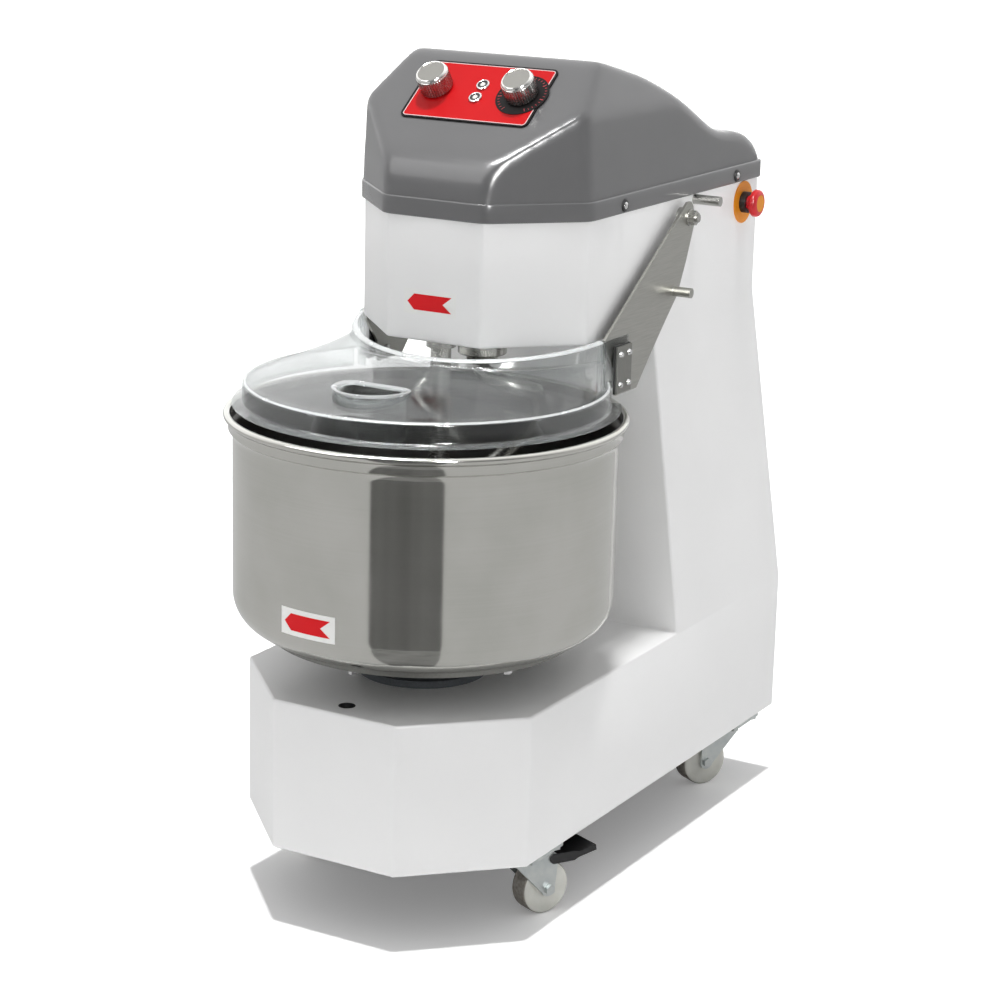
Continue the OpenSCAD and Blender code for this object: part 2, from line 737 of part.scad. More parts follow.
module stop_plate() set_down() color(yellow) translate([0, stop_y, stop_z])
  difference() {
    along_x(stop_plate_r, head_x, head_x + stop_plate_t);
    along_x(stop_barrel_r + 0.5, head_x - 1, head_x + stop_plate_t + 1);
  }

stop_face = head_x + stop_plate_t;

module stop_collar() set_down() color(dark) translate([0, stop_y, stop_z]) difference() {
  union() {
    along_x(15.5, stop_face, stop_face + 9);
    along_x(stop_barrel_r, head_x - 26, stop_face + 1);
    translate([head_x - 50, -15, -15]) cube([25, 30, 30]);
  }
  along_x(stop_stem_r + run_fit, head_x - 16, stop_face + 10);
}

module stop_button() set_down() color(red) translate([0, stop_y, stop_z]) {
  along_x(stop_stem_r, head_x - 10, stop_face + 16);
  translate([stop_face + 14, 0, 0]) rotate([0, 90, 0]) {
    cylinder(r1 = stop_d / 2 - 3, r2 = stop_d / 2, h = 4);
    translate([0, 0, 4]) cylinder(r = stop_d / 2, h = 5);
    translate([0, 0, 9]) cylinder(r1 = stop_d / 2, r2 = stop_d / 2 - 5, h = 4.5);
  }
}

module control_box() set_down() color(cast_grey)
  translate([-cover_w / 2 + 10, head_rear - sheet - slip - 80, z_head + 30]) cube([cover_w - 20, 80, 88]);

module gland_place() translate([head_x - 30, head_rear, z_head + 60]) rotate([-90, 0, 0]) children();

module cable_gland() set_down() color(dark) gland_place() difference() {
  union() {
    translate([0, 0, -sheet - 10]) cylinder(r = 10, h = sheet + 12);
    translate([0, 0, slip / 3]) hex_prism(14, 7);
    translate([0, 0, 7]) cylinder(r1 = 12, r2 = 8, h = 14);
    translate([0, 0, -sheet - 6 - slip / 3]) hex_prism(14, 6);
  }
  translate([0, 0, -sheet - 11]) cylinder(r = 6, h = 40);
}

// Lid posts and pivots on the head

module spring_posts() set_down() color(steel) both_sides() translate([0, post_y, post_z]) {
  along_x(post_d / 2, head_x, head_x + post_len);
  along_x(post_d / 4, head_x - sheet - 8, head_x + 1);
}

module lid_pivots() set_down() color(steel) both_sides() translate([0, pivot_y, z_pivot]) {
  translate([head_x, 0, 0]) rotate([0, 90, 0]) tube(13, pivot_d / 2 + 0.1, arm_x - head_x - slip);
  along_x(pivot_d / 2, head_x - sheet - 6, arm_x + arm_t + 14);
  translate([head_x - sheet - 8.1, 0, 0]) rotate([0, 90, 0]) hex_prism(11, 8);
  translate([arm_x + arm_t + slip, 0, 0]) rotate([0, 90, 0]) {
    cylinder(r = 12, h = 2);
    hex_prism(10.5, 10);
  }
}

// Lid

module lid_cone(inset) hull() {
  translate([0, 0, z_lid - inset - 0.5]) cylinder(r = lid_r - inset + 1, h = 0.5, $fn = 96);
  translate([0, collar_y, z_collar - inset - 0.5]) cylinder(r = collar_r - inset + 0.6, h = 0.5, $fn = 96);
}

// The lid as a solid body: a round skirt below, and a surface that rises to the collar
module lid_form(inset, low) {
  translate([0, 0, low]) cylinder(r = lid_r - inset, h = z_lid - inset - 0.2 - low);
  intersection() {
    lid_cone(inset);
    translate([0, 0, z_rim]) cylinder(r = lid_r - inset, h = z_collar + 10 - z_rim);
  }
}

// Pour hole with a straight rear edge and a rounded front
hole_w = 92;
hole_d = 60;
hole_y = 108 - bowl_r;
hole_r = 12;
hole_top = z_lid + 16;
chute_low = z_rim - 9;
lip_out = 8;
lip_t = 6;

function hole_line(grow) =
  let (y = hole_y + hole_d / 2 - hole_r)
  concat(
    [for (i = [0 : 23]) [(hole_w / 2 + grow) * cos(180 + 7.5 * i), y + (hole_d - hole_r + grow) * sin(180 + 7.5 * i)]],
    arc(hole_w / 2 - hole_r, y, hole_r + grow, 0, 90, 6),
    arc(-hole_w / 2 + hole_r, y, hole_r + grow, 90, 174, 6));

module pour_hole(grow, low, top) translate([0, 0, low]) linear_extrude(top - low) polygon(hole_line(grow));

module on_collar_top() translate([0, collar_y - collar_r, z_collar + collar_low])
  rotate([collar_slope, 0, 0]) children();

module collar_room(r) {
  translate([0, collar_y, z_rim]) cylinder(r = r, h = 200);
  translate([-r, collar_y, z_rim]) cube([2 * r, 200, 200]);
}

module clamp_bolt_places() for (dy = [-1, 1], dz = [-1, 1])
  translate([0, clamp_y + dy * clamp_pitch_y / 2, clamp_z + dz * clamp_pitch_z / 2]) children();

// Flat ear at each end of the lid, for the arm's clamp
module lid_ear() {
  step_x = max(sqrt(lid_r * lid_r - lid_end_y * lid_end_y) - 0.5, collar_r);
  translate([collar_r - ear_in, lid_end_y - lid_t, z_flange])
    cube([step_x - collar_r + ear_in, lid_t + 0.5, z_collar - ear_drop - z_flange]);
  translate([collar_r - ear_in, lid_end_y - lid_t, z_lid]) cube([ear_in - 0.3, lid_t + 0.5, 100]);
  translate([ear_x, lid_end_y, clamp_z - 34]) cube([pad_t, clamp_y + clamp_w / 2 + 2 - lid_end_y, 100]);
}

module lid_shell() set_down() color([0.85, 0.9, 0.92, 0.35]) difference() {
  union() {
    difference() {
      union() {
        difference() {
          lid_form(0, z_flange + lid_t);
          lid_form(lid_t, z_flange - 1);
        }
        translate([0, 0, z_flange]) tube(lid_r + flange_w, lid_r - lid_t, lid_t + 0.5);
        translate([0, collar_y, z_collar - lid_t / 2]) tube(collar_r, collar_r - lid_t, 40);
      }
      collar_room(collar_r - lid_t);
      translate([-2 * rim_r, lid_end_y, z_rim]) cube([4 * rim_r, 2 * collar_r, 200]);
      pour_hole(lid_t, z_rim, z_collar + 50);
      pour_hole(lip_out, hole_top - lip_t, z_collar + 50);
    }
    both_sides() lid_ear();
    difference() {
      on_collar_top() translate([0, collar_r, -lid_t])
        tube(collar_r - lid_t / 2, collar_r - collar_lip, lid_t + 1);
      translate([-2 * rim_r, lid_end_y, z_rim]) cube([4 * rim_r, 3 * collar_r, 200]);
    }
  }
  on_collar_top() translate([-2 * rim_r, -20, 0]) cube([4 * rim_r, 3 * collar_r, 100]);
  both_sides() clamp_bolt_places() along_x(clamp_bolt_r + screw_slack, ear_x - 1, clamp_x + 1);
}

module lid_chute() set_down() color([0.85, 0.9, 0.92, 0.35]) difference() {
  union() {
    pour_hole(lid_t, chute_low, hole_top - 1);
    pour_hole(lip_out, hole_top - lip_t, hole_top);
  }
  pour_hole(0, chute_low - 1, hole_top + 1);
}

// Arm outline in the lid's side view: upper points from the pivot, lower ones from the clamp
function arm_outline() =
  let (top = [pivot_y, z_pivot], low = [clamp_y, clamp_z])
  [for (p = [[-8, 22]]) top + p,
   for (p = [[-42, 44], [-38, 27], [-10, -8], [-6, -38], [55, -38], [95, 3]]) low + p,
   for (p = [[-64, -136], [-31, -106], [-6, -59], [16, -8], [10, 14], [3, 22]]) top + p];

module lid_arm() difference() {
  union() {
    translate([arm_x, 0, 0]) rotate([90, 0, 90]) linear_extrude(arm_t) polygon(arm_outline());
    translate([0, pivot_y - 41, z_pivot - 99]) along_x(post_d / 2, arm_x + arm_t - 1, arm_x + arm_t + 27);
  }
  translate([0, pivot_y, z_pivot]) along_x(pivot_d / 2 + run_fit, arm_x - 1, arm_x + arm_t + 1);
  clamp_bolt_places() along_x(clamp_bolt_r + screw_slack, arm_x - 1, arm_x + arm_t + 1);
}

module lid_arm_right() set_down() color(steel) lid_arm();

module lid_arm_left() set_down() color(steel) mirror([1, 0, 0]) lid_arm();

module clamp_block(from, t, w, h) difference() {
  translate([from, clamp_y - w / 2, clamp_z - h / 2]) cube([t, w, h]);
  clamp_bolt_places() along_x(clamp_bolt_r + screw_slack, from - 1, from + t + 1);
}

module lid_gaskets() set_down() color(dark) both_sides()
  clamp_block(clamp_x, gasket_t, clamp_w + 3, clamp_h + 2);

module lid_clamp_plates() set_down() color(steel) both_sides()
  clamp_block(clamp_x + gasket_t, clamp_t, clamp_w + 1, clamp_h);

module lid_bolts() set_down() color(steel) both_sides() clamp_bolt_places() {
  along_x(clamp_bolt_r, arm_x - 4.6, clamp_x + gasket_t + clamp_t + 1);
  translate([clamp_x + gasket_t + clamp_t + slip / 3, 0, 0]) rotate([0, 90, 0])
    cylinder(r1 = 4.6, r2 = 3, h = 3.4);
  translate([arm_x - 4 - slip / 3, 0, 0]) rotate([0, 90, 0]) hex_prism(4.6, 4);
}

// Castors

castor_bolt_r = 4;

function castors() = [
  [castor_x, castor_front_y, turn_front_right], [-castor_x, castor_front_y, turn_front_left],
  [castor_x, castor_rear_y, turn_rear_right], [-castor_x, castor_rear_y, turn_rear_left]];

module at_castor(c) translate([c[0], c[1], 0]) rotate(c[2]) children();

module castor_bolt_places(c) for (dx = [-1, 1], dy = [-1, 1])
  translate([c[0] + 38 * dx, c[1] + 32 * dy, 0]) children();

module castor_bolts(c) castor_bolt_places(c) {
  translate([0, 0, castor_h - 9.5 - slip / 3]) hex_prism(7.5, 5.5);
  translate([0, 0, castor_h - 6]) cylinder(r = castor_bolt_r, h = floor_t + 15);
  translate([0, 0, castor_h + floor_t + slip / 3]) hex_prism(7.5, 6.5);
}

module castor_plates() set_down() color(zinc) for (c = castors()) {
  castor_plate(c);
  castor_bolts(c);
}

module castor_plate(c) difference() {
  union() {
    translate([c[0], c[1], castor_h - 4]) linear_extrude(4)
      polygon(rounded(96, 82, 8));
    translate([c[0], c[1], fork_top + slip]) cylinder(r1 = 30, r2 = 34, h = castor_h - 4 - fork_top);
    translate([c[0], c[1], fork_top - 8]) cylinder(r = 6, h = 12);
    translate([c[0], c[1], fork_top - 9]) cylinder(r = 9, h = 3 - slip);
  }
  castor_bolt_places(c) translate([0, 0, castor_h - 10]) cylinder(r = castor_bolt_r + screw_slack, h = 12);
}

module castor_fork(c, brake) set_down() color(zinc) at_castor(c) {
  leg_x = wheel_w / 2 + fork_gap;
  difference() {
    union() {
      translate([0, 0, fork_top - 6]) cylinder(r = 31, h = 6);
      both_sides() translate([leg_x, 0, 0]) rotate([90, 0, 90]) linear_extrude(fork_t)
        polygon(concat([[-24, fork_top - 1], [-20, fork_top - 14]],
          arc(trail, axle_z, 11, 200, 350, 8),
          brake ? arc(pedal_y, pedal_z, 8, -20, 80, 4) : [[trail + 8, fork_top - 12]],
          [[26, fork_top - 1]]));
    }
    translate([0, 0, fork_top - 7]) cylinder(r = 6 + run_fit, h = 8);
    translate([0, trail, axle_z]) along_x(axle_r + 0.02, -leg_x - fork_t - 1, leg_x + fork_t + 1);
    if (brake) translate([0, pedal_y, pedal_z]) along_x(3 + run_fit, -leg_x - fork_t - 1, leg_x + fork_t + 1);
  }
  translate([0, trail, axle_z]) {
    along_x(axle_r, -leg_x - fork_t - 1, leg_x + fork_t + 6);
    translate([-leg_x - fork_t - 5.1, 0, 0]) rotate([0, 90, 0]) hex_prism(7.5, 5);
    translate([leg_x + fork_t + 0.1, 0, 0]) rotate([0, 90, 0]) hex_prism(7.5, 6);
  }
}

module fork_front_right() castor_fork(castors()[0], true);
module fork_front_left() castor_fork(castors()[1], true);
module fork_rear_right() castor_fork(castors()[2], false);
module fork_rear_left() castor_fork(castors()[3], false);

module castor_wheel(c) set_down() color(nylon) at_castor(c) translate([0, trail, axle_z])
  rotate([0, 90, 0]) rotate_extrude($fn = 72) {
    r = wheel_d / 2;
    half = wheel_w / 2;
    difference() {
      polygon([[axle_r + run_fit, -half - 1], [10, -half - 1], [11, -half], [r - 3, -half], [r, -half + 4],
        [r, half - 4], [r - 3, half], [11, half], [10, half + 1], [axle_r + run_fit, half + 1]]);
      for (side = [-1, 1]) polygon([[13, side * (half + 1)], [r - 9, side * (half + 1)],
        [r - 10, side * (half - 3)], [14, side * (half - 3)]]);
    }
  }

module wheel_front_right() castor_wheel(castors()[0]);
module wheel_front_left() castor_wheel(castors()[1]);
module wheel_rear_right() castor_wheel(castors()[2]);
module wheel_rear_left() castor_wheel(castors()[3]);

module brake_pedal(c) set_down() color(dark) at_castor(c) {
  cheek_x = wheel_w / 2 + fork_gap + fork_t + slip;
  both_sides() difference() {
    translate([cheek_x, pedal_y, pedal_z]) rotate([90, 0, 90]) linear_extrude(2.5)
      polygon(concat(arc(0, 0, 7, 100, 260, 8), [[34, -9], [46, -4], [46, 1], [30, 5]]));
    translate([0, pedal_y, pedal_z]) along_x(2.98, cheek_x - 1, cheek_x + 4);
  }
  translate([-cheek_x - 2.5, pedal_y + 26, pedal_z - 8]) rotate([8, 0, 0])
    cube([2 * cheek_x + 5, 46, 8]);
  translate([0, pedal_y, pedal_z]) along_x(2.98, -cheek_x - 2.5, cheek_x + 2.5);
}

module pedal_right() brake_pedal(castors()[0]);
module pedal_left() brake_pedal(castors()[1]);

base_shell();
column_shell();
head_shell();
floor_plate();
rear_cover();
cover_screws();
drive_plate();
spiral_motor();
motor_pulley();
drive_belts();
spiral_pulley();
spiral_shaft();
spiral_hook();
spiral_housing();
shaft_bearings();
breaker_bar();
bowl();
bowl_bottom();
bowl_turntable();
bowl_bolts();
bowl_shaft();
bowl_housing();
bowl_pulley();
bowl_gearmotor();
gearmotor_shelf();
bowl_drive_pulley();
hood();
control_panel();
dial_scale();
knob_left();
knob_right();
dial_timers();
button_bezels();
button_start();
button_stop();
stop_plate();
stop_collar();
stop_button();
control_box();
cable_gland();
spring_posts();
lid_pivots();
lid_shell();
lid_chute();
lid_arm_left();
lid_arm_right();
lid_gaskets();
lid_clamp_plates();
lid_bolts();
castor_plates();
fork_front_left();
fork_front_right();
fork_rear_left();
fork_rear_right();
wheel_front_left();
wheel_front_right();
wheel_rear_left();
wheel_rear_right();
pedal_left();
pedal_right();
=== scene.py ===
"""Looks of the spiral dough mixer: painted casing, moulded hood, spun bowl, clear lid, controls, castors."""

import json
import math
import bpy
from mathutils import Matrix, Vector


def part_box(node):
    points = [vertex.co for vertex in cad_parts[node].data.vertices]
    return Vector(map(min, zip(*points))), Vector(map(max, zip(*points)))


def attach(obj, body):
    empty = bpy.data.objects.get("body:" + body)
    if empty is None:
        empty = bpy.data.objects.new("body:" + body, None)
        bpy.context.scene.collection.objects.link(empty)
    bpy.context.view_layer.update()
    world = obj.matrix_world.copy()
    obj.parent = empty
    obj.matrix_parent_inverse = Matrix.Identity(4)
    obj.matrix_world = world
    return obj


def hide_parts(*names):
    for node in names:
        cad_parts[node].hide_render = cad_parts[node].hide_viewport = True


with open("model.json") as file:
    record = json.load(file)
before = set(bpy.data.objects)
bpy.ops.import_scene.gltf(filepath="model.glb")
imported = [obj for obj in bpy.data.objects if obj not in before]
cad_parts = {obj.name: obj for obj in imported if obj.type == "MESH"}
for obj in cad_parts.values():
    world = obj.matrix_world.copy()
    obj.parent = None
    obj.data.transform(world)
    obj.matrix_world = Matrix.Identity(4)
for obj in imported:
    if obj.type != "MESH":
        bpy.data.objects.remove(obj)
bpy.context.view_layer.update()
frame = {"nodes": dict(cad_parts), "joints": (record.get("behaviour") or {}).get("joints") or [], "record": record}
scene = bpy.context.scene
MM = 0.001
SLOPE = math.radians(37)  # tilt of the control panel on the hood


def middle(node):
    """The middle of a CAD node's box."""
    low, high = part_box(node)
    return (low + high) / 2


# ---------------------------------------------------------------- finishes


def paint(code):
    """sRGB hex colour to the linear colour that the shaders use."""
    parts = [int(code[i : i + 2], 16) / 255 for i in (1, 3, 5)]
    return [c / 12.92 if c <= 0.04045 else ((c + 0.055) / 1.055) ** 2.4 for c in parts] + [1.0]


def add(tree, kind, settings=None, inputs=None):
    """Adds one shader node with its settings, and sets or links its inputs."""
    node = tree.nodes.new("ShaderNode" + kind)
    for name, value in (settings or {}).items():
        setattr(node, name, value)
    for name, value in (inputs or {}).items():
        if isinstance(value, bpy.types.NodeSocket):
            tree.links.new(value, node.inputs[name])
        else:
            node.inputs[name].default_value = value
    return node


def finish(name, colour, roughness, metallic=0.0, ior=1.5, **more):
    """A new material with one shader, and the place of each point in metres."""
    material = bpy.data.materials.new(name)
    material.use_nodes = True
    tree = material.node_tree
    tree.nodes.clear()
    inputs = {"Base Color": paint(colour), "Roughness": roughness, "Metallic": metallic, "IOR": ior}
    inputs.update(more)
    shader = add(tree, "BsdfPrincipled", inputs=inputs)
    add(tree, "OutputMaterial", inputs={"Surface": shader.outputs[0]})
    place = add(tree, "TexCoord").outputs["Object"]
    return material, tree, shader, place


def two_tones(tree, shader, pattern, start, low, end, high):
    """Colour that follows a pattern from one tone to another, between two of the pattern's values."""
    ramp = add(tree, "ValToRGB", inputs={"Fac": pattern})
    for stop, position, colour in zip(ramp.color_ramp.elements, (start, end), (low, high)):
        stop.position, stop.color = position, paint(colour)
    tree.links.new(ramp.outputs[0], shader.inputs["Base Color"])


def mottle(tree, shader, place, grain_mm, low, high, stretch=(1, 1, 1), turn=(0, 0, 0), detail=3):
    """Colour that wanders between two tones, in a grain of that size, stretched along an axis."""
    laid = add(tree, "Mapping", inputs={"Vector": place, "Rotation": turn, "Scale": stretch})
    noise = add(tree, "TexNoise", inputs={
        "Vector": laid.outputs[0], "Scale": 1 / (grain_mm * MM), "Detail": detail})
    two_tones(tree, shader, noise.outputs["Fac"], 0.22, low, 0.78, high)
    return noise.outputs["Fac"]


def gloss_range(tree, shader, pattern, low, high):
    """Roughness that follows a pattern between two values."""
    spread = add(tree, "MapRange", inputs={"Value": pattern, "To Min": low, "To Max": high})
    tree.links.new(spread.outputs[0], shader.inputs["Roughness"])


def relief(tree, shader, pattern, depth_mm, strength, edge_mm=0.0):
    """Bumps of that depth; edge_mm also rounds hard edges as a deburred or painted edge is."""
    bump = add(tree, "Bump", inputs={"Height": pattern, "Distance": depth_mm * MM, "Strength": strength})
    if edge_mm:
        soft = add(tree, "Bevel", {"samples": 4}, {"Radius": edge_mm * MM})
        tree.links.new(soft.outputs[0], bump.inputs["Normal"])
    tree.links.new(bump.outputs[0], shader.inputs["Normal"])


def powder_coat():
    """Polyester powder coat on folded steel sheet: even light grey-white, with a faint orange peel."""
    material, tree, shader, place = finish("powder_coat_light_grey", "#efefef", 0.38)
    peel = mottle(tree, shader, place, 160, "#ededed", "#f1f1f1")
    fine = add(tree, "TexNoise", inputs={"Vector": place, "Scale": 1 / (2.4 * MM), "Detail": 2.0})
    gloss_range(tree, shader, peel, 0.33, 0.42)
    relief(tree, shader, fine.outputs["Fac"], 0.05, 0.12)
    return material


def moulded(name, low, high, roughness, peel_mm=1.6, edge_mm=0.0, depth=0.04, shine=0.5):
    """Moulded plastic, print or enamel: one body colour with a very soft mottle and a fine grain."""
    material, tree, shader, place = finish(name, low, roughness)
    shader.inputs["Specular IOR Level"].default_value = shine
    cloud = mottle(tree, shader, place, 90, low, high)
    grain = add(tree, "TexNoise", inputs={"Vector": place, "Scale": 1 / (peel_mm * MM), "Detail": 2.0})
    gloss_range(tree, shader, cloud, roughness - 0.03, roughness + 0.05)
    relief(tree, shader, grain.outputs["Fac"], depth, 0.15, edge_mm)
    return material


def steel(name, low, high, rough, grain_mm, stretch, turn=(0, 0, 0), edge_mm=0.5, depth=0.02, sway=0.08):
    """Metal with hairlines along the polishing direction, a little darker and rougher between them."""
    material, tree, shader, place = finish(name, low, rough, 1.0)
    lines = mottle(tree, shader, place, grain_mm, low, high, stretch, turn, 6)
    gloss_range(tree, shader, lines, rough - sway / 2, rough + sway)
    relief(tree, shader, lines, depth, 0.3, edge_mm)
    return material


def spun_bowl_steel():
    """Spun stainless bowl, polished on the lathe: fine rings, and broad soft stains from washing."""
    material, tree, shader, place = finish("stainless_spun_polished", "#c9c8c3", 0.08, 1.0)
    rings = add(tree, "Mapping", inputs={"Vector": place, "Scale": (0.004, 0.004, 1.0)})
    lines = add(tree, "TexNoise", inputs={"Vector": rings.outputs[0], "Scale": 1 / (1.5 * MM), "Detail": 5.0})
    cloud = add(tree, "TexNoise", inputs={"Vector": place, "Scale": 1 / (110 * MM), "Detail": 3.0})
    both = add(tree, "Math", {"operation": "MULTIPLY_ADD"},
               {0: lines.outputs["Fac"], 1: 0.35, 2: cloud.outputs["Fac"]})
    two_tones(tree, shader, both.outputs[0], 0.45, "#c4c4be", 0.85, "#cfcec9")
    gloss_range(tree, shader, both.outputs[0], 0.02, 0.13)
    relief(tree, shader, lines.outputs["Fac"], 0.01, 0.1)
    return material


def clear_polycarbonate():
    """Vacuum formed polycarbonate: clear and smooth, so that only its edges and folds catch the light."""
    material, tree, shader, place = finish(
        "polycarbonate_formed_clear", "#f2f5f5", 0.03, 0.0, 1.58, **{"Transmission Weight": 1.0}
    )
    shader.inputs["Specular IOR Level"].default_value = 0.15
    wave = add(tree, "TexNoise", inputs={"Vector": place, "Scale": 1 / (45 * MM), "Detail": 1.0})
    gloss_range(tree, shader, wave.outputs["Fac"], 0.04, 0.12)
    relief(tree, shader, wave.outputs["Fac"], 0.4, 0.25)
    # the sheet is thin: half of what is seen, and all the light to the bowl, passes straight through it
    path = add(tree, "LightPath")
    through = add(tree, "BsdfTransparent", inputs={"Color": (0.93, 0.94, 0.94, 1)})
    out = [n for n in tree.nodes if n.type == "OUTPUT_MATERIAL"][0]
    share = add(tree, "Math", {"operation": "MAXIMUM"}, {0: path.outputs["Is Shadow Ray"], 1: 0.55})
    both = add(tree, "MixShader", inputs={0: share.outputs[0], 1: shader.outputs[0], 2: through.outputs[0]})
    tree.links.new(both.outputs[0], out.inputs["Surface"])
    return material


def fold_painted_highlight():
    """Folds and rims of the clear sheet, paler and less clear than the sheet: painted highlight, so that they read
    as bright lines.
    """
    material, tree, shader, place = finish(
        "polycarbonate_fold_painted_highlight", "#f6f8f8", 0.22, 0.0, 1.58, **{"Transmission Weight": 0.62}
    )
    streak = add(tree, "TexNoise", inputs={"Vector": place, "Scale": 1 / (14 * MM), "Detail": 4.0})
    gloss_range(tree, shader, streak.outputs["Fac"], 0.15, 0.34)
    relief(tree, shader, streak.outputs["Fac"], 0.15, 0.3)
    return material


def control_foil():
    """Screen printed polyester foil: red field, thin white line and black border, under a satin film."""
    material, tree, shader, place = finish("polyester_foil_printed", "#cf0a12", 0.42)
    shader.inputs["Specular IOR Level"].default_value = 0.12
    low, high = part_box("control_panel")
    centre = middle("control_panel")
    half_w = (high.x - low.x) / 2
    angle = math.atan2(high.z - low.z, high.y - low.y)
    half_d = math.hypot(high.z - low.z, high.y - low.y) / 2
    corner = 9 * MM
    # how far each point is past a line 9 mm inside the foil's round-cornered edge
    axes = add(tree, "SeparateXYZ", inputs={"Vector": place})
    along = add(tree, "VectorMath", {"operation": "DOT_PRODUCT"},
                {0: place, 1: (0, math.cos(angle), math.sin(angle))})
    shift = centre.y * math.cos(angle) + centre.z * math.sin(angle)
    level = add(tree, "Math", {"operation": "SUBTRACT"}, {0: along.outputs["Value"], 1: shift})
    reach = []
    for socket, half in ((axes.outputs["X"], half_w), (level.outputs[0], half_d)):
        size = add(tree, "Math", {"operation": "ABSOLUTE"}, {0: socket})
        reach.append(add(tree, "Math", {"operation": "SUBTRACT"}, {0: size.outputs[0], 1: half - corner}))
    clipped = [add(tree, "Math", {"operation": "MAXIMUM"}, {0: r.outputs[0], 1: 0.0}) for r in reach]
    square = [add(tree, "Math", {"operation": "POWER"}, {0: c.outputs[0], 1: 2.0}) for c in clipped]
    total = add(tree, "Math", {"operation": "ADD"}, {0: square[0].outputs[0], 1: square[1].outputs[0]})
    outer = add(tree, "Math", {"operation": "SQRT"}, {0: total.outputs[0]})
    longest = add(tree, "Math", {"operation": "MAXIMUM"}, {0: reach[0].outputs[0], 1: reach[1].outputs[0]})
    inner = add(tree, "Math", {"operation": "MINIMUM"}, {0: longest.outputs[0], 1: 0.0})
    depth = add(tree, "Math", {"operation": "ADD"}, {0: outer.outputs[0], 1: inner.outputs[0]})
    band = add(tree, "MapRange", inputs={"Value": depth.outputs[0], "From Min": 0.0, "From Max": corner})
    ramp = add(tree, "ValToRGB", inputs={"Fac": band.outputs[0]})
    ramp.color_ramp.interpolation = "CONSTANT"
    ramp.color_ramp.elements[0].color = paint("#cf0a12")
    ramp.color_ramp.elements[1].position = 0.46
    ramp.color_ramp.elements[1].color = paint("#f4d8d8")
    ramp.color_ramp.elements.new(0.59).color = paint("#0c0a0b")
    tree.links.new(ramp.outputs[0], shader.inputs["Base Color"])
    weave = add(tree, "TexNoise", inputs={"Vector": place, "Scale": 1 / (0.9 * MM)})
    relief(tree, shader, weave.outputs["Fac"], 0.02, 0.1)
    return material


def button_cap(node):
    """Push button cap: bright dished metal centre in a dark moulded ring."""
    material, tree, shader, place = finish("cap_of_" + node, "#2a2a2b", 0.3, 0.0)
    low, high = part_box(node)
    # the cap's length along its own tilted axis
    length = (high.z - low.z + (high.x - low.x) * slope_axis.y) / slope_axis.z
    face = middle(node) + slope_axis * length / 2
    off = add(tree, "VectorMath", {"operation": "DISTANCE"}, {0: place, 1: face})
    band = add(tree, "MapRange", inputs={
        "Value": off.outputs["Value"], "From Min": 3.2 * MM, "From Max": 4 * MM})
    cloud = add(tree, "TexNoise", inputs={"Vector": place, "Scale": 1 / (2 * MM), "Detail": 3.0})
    metal = add(tree, "MixRGB", inputs={0: cloud.outputs["Fac"], 1: paint("#b9b8b4"), 2: paint("#dad9d6")})
    tone = add(tree, "MixRGB", inputs={0: band.outputs[0], 1: metal.outputs[0], 2: paint("#2a2a2b")})
    tree.links.new(tone.outputs[0], shader.inputs["Base Color"])
    inside = add(tree, "Math", {"operation": "SUBTRACT"}, {0: 1.0, 1: band.outputs[0]})
    tree.links.new(inside.outputs[0], shader.inputs["Metallic"])
    relief(tree, shader, band.outputs[0], 0.4, 0.6)
    return material


def cast_nylon(name, low, high, grain_mm, roughness):
    """Cast nylon: off-white and slightly waxy; the tread is scuffed darker by the floor."""
    material, tree, shader, place = finish(name, low, roughness, 0.0, 1.53, **{"Subsurface Weight": 0.08})
    shader.inputs["Subsurface Radius"].default_value = (0.004, 0.004, 0.003)
    scuff = mottle(tree, shader, place, grain_mm, low, high, detail=6)
    gloss_range(tree, shader, scuff, roughness - 0.06, roughness + 0.1)
    relief(tree, shader, scuff, 0.08, 0.3)
    return material


def zinc_plate():
    """Bright zinc plating on pressed steel: cool silver with a cloudy passivated sheen."""
    material, tree, shader, place = finish("zinc_plated_pressing", "#c6caca", 0.36, 0.9)
    cloud = mottle(tree, shader, place, 14, "#bcc2c3", "#d3d6d3", detail=5)
    gloss_range(tree, shader, cloud, 0.28, 0.46)
    relief(tree, shader, cloud, 0.03, 0.25, 0.7)
    return material


def machined_casting():
    """Grey cast iron and drive parts under thin grey primer: matt, with a sandy grain."""
    material, tree, shader, place = finish("cast_iron_primed", "#5b6064", 0.62, 0.3)
    sand = mottle(tree, shader, place, 3, "#54595d", "#666b6f", detail=6)
    relief(tree, shader, sand, 0.2, 0.4, 0.8)
    return material


def motor_paint():
    """Sprayed machine enamel on the motor housings: blue-grey, semi-gloss, slightly uneven."""
    material, tree, shader, place = finish("machine_enamel_blue_grey", "#4a5f70", 0.4)
    run = mottle(tree, shader, place, 12, "#465a6b", "#516878", detail=4)
    relief(tree, shader, run, 0.1, 0.3, 0.8)
    return material


def vulcanised_rubber(name, grain_mm):
    """Vulcanised rubber: near black and matt, with a fabric or pressed grain."""
    material, tree, shader, place = finish(name, "#1b1b1c", 0.68, 0.0, 1.52)
    grain = mottle(tree, shader, place, grain_mm, "#161617", "#232324", detail=4)
    relief(tree, shader, grain, 0.1, 0.4, 0.5)
    return material


slope_axis = Vector((0, -math.sin(SLOPE), math.cos(SLOPE)))
slope_up = Vector((0, math.cos(SLOPE), math.sin(SLOPE)))

